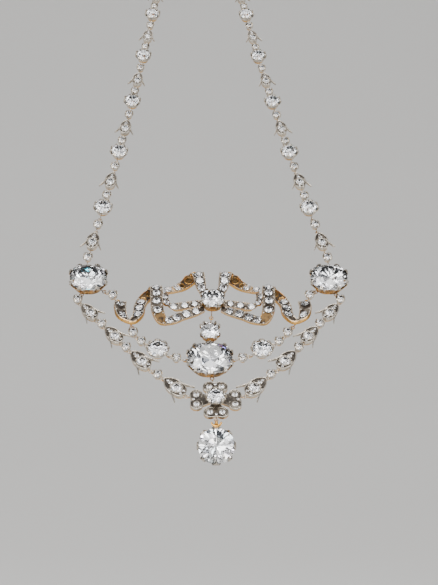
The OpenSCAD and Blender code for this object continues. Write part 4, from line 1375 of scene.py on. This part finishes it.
class NECKLACE_OT_galleries(bpy.types.Operator):
    """Raise the claws, rails and ribs of the large settings"""
    bl_idname = "necklace.galleries"
    bl_label = "Claws and Galleries"

    def execute(self, context):
        gold, silver = finish_named("old_gold"), finish_named("rubbed_silver")
        for label, place in setting_places().items():
            body = "drop" if label == "drop" else "necklace"
            size = MAIN[label.split("_")[0]][2:]
            stems, tips = cushion_claws(place, *size)
            stems += cushion_gallery(place, *size)
            finish(wires(f"{label}_gallery", stems, gold), body)
            finish(wires(f"{label}_claw_tips", tips, silver), body)
        return {"FINISHED"}


class NECKLACE_OT_round_claws(bpy.types.Operator):
    """Raise the claws of every round setting"""
    bl_idname = "necklace.round_claws"
    bl_label = "Round Claws"

    def execute(self, context):
        silver = finish_named("rubbed_silver")
        for side in SIDES:
            paths = []
            for kind, x, y, heading, size in chain_places(side):
                if kind == "small":
                    paths += crown_claws(x, y, 0, size, SMALL, heading + 45)
                if kind == "large":
                    paths += crown_claws(x, y, LARGE_Z, size, LARGE, heading + HALF_STEP)
            finish(wires(f"neck_chain_claws_{side}", paths, silver, sides=6))
            smalls, _, inner, collet = side_places(side)
            paths = []
            for x, y, r in (*smalls, collet, inner[0], inner[1], inner[3]):
                paths += crown_claws(x, y, 0, r, SMALL, 45)
            x, y, r = inner[2]
            paths += crown_claws(x, y, SIDE_Z, r, SIDE, 0)
            finish(wires(f"row_claws_{side}", paths, silver, sides=6))
        paths = crown_claws(*MOTIF_AT, MOTIF_Z, MOTIF_R, MOTIF, 0)
        finish(wires("quatrefoil_claws", paths, silver))
        return {"FINISHED"}


CURVE_STEPS = 6


def bezier(*corners):
    """Points of a curve from the first corner to the third, drawn towards the second."""
    a, b, c = (Vector(corner) for corner in corners)
    ways = [i / CURVE_STEPS for i in range(CURVE_STEPS + 1)]
    return [(1 - t) ** 2 * a + 2 * t * (1 - t) * b + t * t * c for t in ways]


class NECKLACE_OT_husks(bpy.types.Operator):
    """Dress each husk with its rim, tendrils, claws and small stones"""
    bl_idname = "necklace.husks"
    bl_label = "Husks"

    # All of these are of a husk of length one. Small stones: along it, across it, radius. They stand this
    # share of their radius over its front
    BESIDE = [(0.195, 0, 0.082), (0.335, 0, 0.045), (-0.375, 0.08, 0.045), (-0.375, -0.08, 0.045)]
    STANDS = 0.4
    # Its outline from the point round to the broad end, and its curling sepal
    POINTED = ((0.5, 0), (0.3, 0.3), (-0.08, 0.29))
    BROAD = ((-0.08, 0.29), (-0.46, 0.28), (-0.5, 0))
    SEPAL = ((0.03, 0.24), (-0.25, 0.31), (-0.515, 0.485))
    # Height of its wires, and their thicknesses. A sepal gets thinner by its taper
    FRONT_Z = 0.03
    RIM_THICK = 0.019
    SEPAL_THICK, SEPAL_TAPER = 0.034, 0.012
    # Wire round its large stone: radius, height over the other wires, thickness
    COLLAR = (0.222, 0.004, 0.014)
    # Stations of a claw of that stone: distance out, height, thickness
    CLAW = ((0.235, 0.03, 0.024), (0.215, 0.07, 0.03), (0.17, 0.085, 0.024), (0.15, 0.085, 0.01))

    def execute(self, context):
        silver = finish_named("rubbed_silver")
        front = wires("husk_front_pattern", self.front_paths(), silver, sides=7)
        context.scene.collection.objects.unlink(front)
        for side in SIDES:
            rows = [place for kind, *place in chain_places(side) if kind == "husk"]
            self.dress(f"neck_chain_husk_fronts_{side}", rows, front, silver)
            self.dress(f"garland_husk_fronts_{side}", side_places(side)[1], front, silver)
        return {"FINISHED"}

    def dress(self, name, rows, front, silver):
        """Fronts and small stones of the husks of a row."""
        places = [panel_place(x, y, 0, heading, length) for x, y, heading, length in rows]
        finish(copies(name, front, places, silver))
        set_small(name, [place @ Matrix.Translation((x, y, HUSK_TOP / row[3] + self.STANDS * r))
                         @ Matrix.Scale(r, 4)
                         for place, row in zip(places, rows) for x, y, r in self.BESIDE], 6, RIBBON_CUT)

    def front_paths(self):
        """Wires of a husk's front."""
        z = self.FRONT_Z
        half = bezier(*self.POINTED) + bezier(*self.BROAD)[1:]
        leaf = [(p.x, p.y) for p in half] + [(p.x, -p.y) for p in reversed(half[1:-1])]
        radius, over, thick = self.COLLAR
        paths = [([(Vector((x, y, z)), self.RIM_THICK) for x, y in leaf], True),
                 ([(Vector((HUSK_STONE_AT + radius * c, radius * s, z + over)), thick)
                   for c, s in circle(24)], True)]
        sepal = [(p.x, p.y, self.SEPAL_THICK - self.SEPAL_TAPER * i / CURVE_STEPS)
                 for i, p in enumerate(bezier(*self.SEPAL))]
        for sign in (1, -1):
            paths.append(([(Vector((x, sign * y, z)), thick) for x, y, thick in sepal], False))
        for c, s in (turned(45 + 90 * i) for i in range(4)):
            paths.append(([(Vector((HUSK_STONE_AT + d * c, d * s, h)), thick) for d, h, thick in self.CLAW],
                          False))
        return paths


class NECKLACE_OT_quatrefoil(bpy.types.Operator):
    """Outline the quatrefoil's petals and set their small stones"""
    bl_idname = "necklace.quatrefoil"
    bl_label = "Quatrefoil"

    # A lobe's outline, and a curl inside it that opens towards the petal's middle: radius, thickness,
    # headings from and to
    RIM_IN = 0.14
    RIM_THICK = 0.14
    LOBE_WIRES = ((LOBE_R - RIM_IN, RIM_THICK, -125, 90), (1.45, 0.09, -80, 60))
    LOBE_STEPS = 24
    # Dip of the rim between the two lobes: across, down
    DIP = ((-LOBE_X, 0), (-0.8, 0.05), (0, 0.25), (0.8, 0.05), (LOBE_X, 0))
    # Height of the wires over the petal. Stones of a lobe and of a petal's tip: height over it, radius
    RIM_Z = 0.1
    STONE_SIZE = 1.05
    LOBE_STONE = (0.3, 0.88)
    TIP_STONE = (0.25, 0.4)
    TIP_STONE_IN = 1.15

    def execute(self, context):
        rims, stones = [], []
        for quarter in range(4):
            reach = PETAL_REACH[quarter % 2]
            for sign in (1, -1):
                centre = Vector((sign * LOBE_X, reach - LOBE_R))
                heading = 0 if sign > 0 else 180
                for radius, thick, start, end in self.LOBE_WIRES:
                    bearings = [heading + sign * (start + (end - start) * i / self.LOBE_STEPS)
                                for i in range(self.LOBE_STEPS + 1)]
                    rims.append(self.wire(quarter, [centre + turned(a) * radius for a in bearings], thick))
                stones.append(self.stone(quarter, centre, *self.LOBE_STONE))
            bar = [Vector((x, reach - self.RIM_IN - dip)) for x, dip in self.DIP]
            rims.append(self.wire(quarter, bar, self.RIM_THICK))
            stones.append(self.stone(quarter, Vector((0, reach - self.TIP_STONE_IN)), *self.TIP_STONE))
        finish(wires("quatrefoil_rims", rims, finish_named("rubbed_silver")))
        set_small("quatrefoil_small", stones, 7, LOW_CUT)
        return {"FINISHED"}

    def turn(self, quarter, p):
        """A point of the top petal, on the petal that is some quarters round."""
        c, s = turned(90 * quarter)
        return MOTIF_AT[0] + c * p.x - s * p.y, MOTIF_AT[1] + s * p.x + c * p.y

    def wire(self, quarter, points, thick):
        """Open wire through points of a petal."""
        return [(PANEL @ Vector((*self.turn(quarter, p), PETAL_TOP + self.RIM_Z)), thick * MM)
                for p in points], False

    def stone(self, quarter, p, up, radius):
        """Place of a stone on a petal."""
        return (panel_place(*self.turn(quarter, p), PETAL_TOP + up, 90 * quarter, self.STONE_SIZE)
                @ Matrix.Scale(radius, 4))


class NECKLACE_OT_drop(bpy.types.Operator):
    """Round and bead the crescent over the drop"""
    bl_idname = "necklace.drop"
    bl_label = "Drop"

    # The drop's own eye in the frame, in millimetres
    EYE = Vector((0.9, -145.914, -163.954))
    # Balls on the crescent: across, forward, up from the eye, radius
    BALLS = [(0, -1.35, 0.52, 0.52), (-1.52, -0.7, 0.62, 0.32), (1.52, -0.7, 0.62, 0.32)]
    # The crescent: half its width, half its height, and its middle's place forward and up from the eye
    HALF_WIDTH, HALF_HEIGHT = 1.55, 1.13
    FORWARD, UP = -0.72, 0.7
    # Its wire is this thick at the tips, and grows by this towards the middle
    TIP_THICK, GROWTH = 0.25, 0.29
    EYE_RADIUS, EYE_THICK = 0.5, 0.16
    # Ends of the stem that joins its middle to the middle ball, and the stem's thickness
    STEM = ((0, -0.85, -0.3), (0, -1.3, 0.35))
    STEM_THICK = 0.26

    def execute(self, context):
        gold = finish_named("yellow_gold")
        places = [Matrix.Translation(self.at(*at)) @ Matrix.Scale(r * MM, 4) for *at, r in self.BALLS]
        finish(copies("drop_crescent_balls", bead_pattern(), places, gold), "drop")
        # The arc goes round its underside, from tip to tip
        crescent = [(self.at(self.HALF_WIDTH * c, self.FORWARD, self.UP + self.HALF_HEIGHT * s),
                     (self.TIP_THICK + self.GROWTH * s * s) * MM)
                    for c, s in (turned(186 + 8 * i) for i in range(22))]
        stem = [(self.at(*at), self.STEM_THICK * MM) for at in self.STEM]
        ring = [(self.at(self.EYE_RADIUS * c, 0, self.EYE_RADIUS * s), self.EYE_THICK * MM)
                for c, s in circle(36)]
        paths = [(crescent, False), (stem, False), (ring, True)]
        finish(wires("drop_crescent", paths, gold, sides=12), "drop")
        return {"FINISHED"}

    def at(self, *offset):
        """A point by its offset from the eye."""
        return (self.EYE + Vector(offset)) * MM


class NECKLACE_OT_stage(bpy.types.Operator):
    """Set the pale sweep, the soft lights and the camera"""
    bl_idname = "necklace.stage"
    bl_label = "Studio"

    # What the camera looks at, from which side and how far off
    TARGET = Vector((0.0, -0.10723, -0.11722))
    AZIMUTH = -2.5
    DISTANCE = 0.7
    # The picture in pixels: its size, where the target is seen, and the focal length
    PICTURE = (438, 585)
    SEEN_AT = (208.7, 277)
    FOCAL = 2100
    SENSOR = 36
    # The room is pale to the eye but dimmer on the piece, so that the facets keep their contrast
    ROOM_COLOUR = (0.95, 0.97, 1, 1)
    ROOM_SEEN = 0.75
    # Name, direction from the piece, distance, width, height, whose power and how much of it. The small
    # table_glint is where the centre stone's table mirrors the camera, so its oval shows
    LIGHTS = [("key", (-0.62, -0.75, 0.62), 1.5, 0.9, 0.9, "key", 1),
              ("fill", (0.75, -0.62, 0.3), 1.5, 0.6, 1.0, "fill", 1),
              ("top_front", (0.15, -0.55, 0.95), 1.6, 0.9, 0.35, "fill", 0.8),
              ("top_back", (-0.1, 0.25, 1), 1.8, 1.4, 0.8, "fill", 1.3),
              ("front", (0, -1, 0.12), 1.6, 0.6, 1.0, "fill", 1.2),
              ("table_glint", (0.039, -0.153, 0.987), 1.48, 0.07, 0.045, "fill", 0.0035),
              ("spark_left", (-0.15, -1, 0.2), 1.3, 0.12, 0.12, "fill", 0.15),
              ("spark_right", (0.35, -0.9, 0.75), 1.3, 0.12, 0.12, "fill", 0.15)]
    # The sweep: its height, depth to the bend, the bend's radius, its top and half its width
    FLOOR, DEPTH, BEND, TOP, HALF_WIDTH = -0.26, 0.3, 1.4, 4.0, 6
    CLOUD_SHADE = 0.96

    def execute(self, context):
        look = context.scene.necklace_studio
        self.set_room(context.scene, look)
        self.set_camera(context.scene)
        for light in self.LIGHTS:
            self.add_light(look, *light)
        self.add_sweep(look)
        return {"FINISHED"}

    def set_room(self, scene, look):
        """Surrounding light."""
        world = bpy.data.worlds.new("soft_room")
        scene.world = world
        world.use_nodes = True
        background = world.node_tree.nodes["Background"]
        background.inputs["Color"].default_value = self.ROOM_COLOUR
        seen = put(world.node_tree, "ShaderNodeLightPath")
        strength = put(world.node_tree, "ShaderNodeMapRange", {
            "Value": seen, "To Min": look.room, "To Max": self.ROOM_SEEN})
        world.node_tree.links.new(strength, background.inputs["Strength"])

    def set_camera(self, scene):
        """Camera of the photograph."""
        azimuth = math.radians(self.AZIMUTH)
        right = Vector((math.cos(azimuth), math.sin(azimuth), 0))
        back = Vector((math.sin(azimuth), -math.cos(azimuth), 0))
        up = Vector((0, 0, 1))
        # The target is seen a little aside of the picture's middle
        aside = (self.SEEN_AT[0] - self.PICTURE[0] / 2) / self.FOCAL * self.DISTANCE
        raised = (self.PICTURE[1] / 2 - self.SEEN_AT[1]) / self.FOCAL * self.DISTANCE
        place = self.TARGET + back * self.DISTANCE - right * aside - up * raised
        data = bpy.data.cameras.new("camera")
        data.lens = self.FOCAL / self.PICTURE[1] * self.SENSOR
        data.clip_start = 0.01
        camera = add_object("camera", data)
        camera.matrix_world = Matrix.Translation(place) @ Matrix((right, up, back)).transposed().to_4x4()
        scene.camera = camera

    def add_light(self, look, name, way, reach, width, height, power, share):
        """Soft light that faces the piece."""
        data = bpy.data.lights.new(name, "AREA")
        data.shape = "RECTANGLE"
        data.size, data.size_y, data.energy = width, height, getattr(look, power) * share
        light = add_object(name, data)
        way = Vector(way).normalized()
        light.matrix_world = (Matrix.Translation(self.TARGET + way * reach)
                              @ way.to_track_quat("Z", "Y").to_matrix().to_4x4())

    def add_sweep(self, look):
        """Pale floor that bends up into the backdrop."""
        profile = [(-self.HALF_WIDTH, self.FLOOR), (self.DEPTH, self.FLOOR)]
        profile += [(self.DEPTH + self.BEND * s, self.FLOOR + self.BEND * (1 - c))
                    for c, s in (turned(a) for a in range(6, 91, 6))]
        profile.append((self.DEPTH + self.BEND, self.TOP))
        points = [(x, y, z) for y, z in profile for x in (-self.HALF_WIDTH, self.HALF_WIDTH)]
        faces = [(2 * i, 2 * i + 1, 2 * i + 3, 2 * i + 2) for i in range(len(profile) - 1)]
        material, tree, shader = new_material("pale_sweep")
        cloud = put(tree, "ShaderNodeTexNoise", {"Vector": object_place(tree), "Scale": 3.0, "Detail": 3.0})
        shade = tuple(c * self.CLOUD_SHADE for c in look.backdrop)
        tree.links.new(blend(tree, cloud, (*look.backdrop, 1), (*shade, 1)), shader.inputs["Base Color"])
        shader.inputs["Roughness"].default_value = 0.85
        mesh = bpy.data.meshes.new("sweep")
        mesh.from_pydata(points, [], faces)
        mesh.materials.append(material)
        mesh.shade_smooth()
        add_object("sweep", mesh)


OPERATORS = [NECKLACE_OT_finishes, NECKLACE_OT_large_stones, NECKLACE_OT_small_stones,
             NECKLACE_OT_ribbon_bow, NECKLACE_OT_galleries, NECKLACE_OT_round_claws,
             NECKLACE_OT_husks, NECKLACE_OT_quatrefoil, NECKLACE_OT_drop, NECKLACE_OT_stage]
GROUPS = {"necklace_sizes": NecklaceSizes, "necklace_finish": NecklaceFinish,
          "necklace_studio": NecklaceStudio}


class NECKLACE_PT_panel(bpy.types.Panel):
    """Sizes, finishes and pieces of the necklace"""
    bl_label = "Diamond Necklace"
    bl_idname = "NECKLACE_PT_panel"
    bl_space_type = "VIEW_3D"
    bl_region_type = "UI"
    bl_category = "Necklace"

    def draw(self, context):
        for name, group in GROUPS.items():
            box = self.layout.box()
            for prop in group.__annotations__:
                box.prop(getattr(context.scene, name), prop)
        for operator in OPERATORS:
            self.layout.operator(operator.bl_idname)


CLASSES = (*GROUPS.values(), *OPERATORS, NECKLACE_PT_panel)


def register():
    """Adds the classes, and the scene's sizes, finish and studio."""
    for cls in CLASSES:
        bpy.utils.register_class(cls)
    for name, group in GROUPS.items():
        setattr(bpy.types.Scene, name, PointerProperty(type=group))


def unregister():
    """Takes away what register added."""
    for name in GROUPS:
        delattr(bpy.types.Scene, name)
    for cls in reversed(CLASSES):
        bpy.utils.unregister_class(cls)


def main():
    """Builds every piece in order."""
    register()
    for operator in OPERATORS:
        group, name = operator.bl_idname.split(".")
        getattr(getattr(bpy.ops, group), name)()


if __name__ == "__main__":
    main()
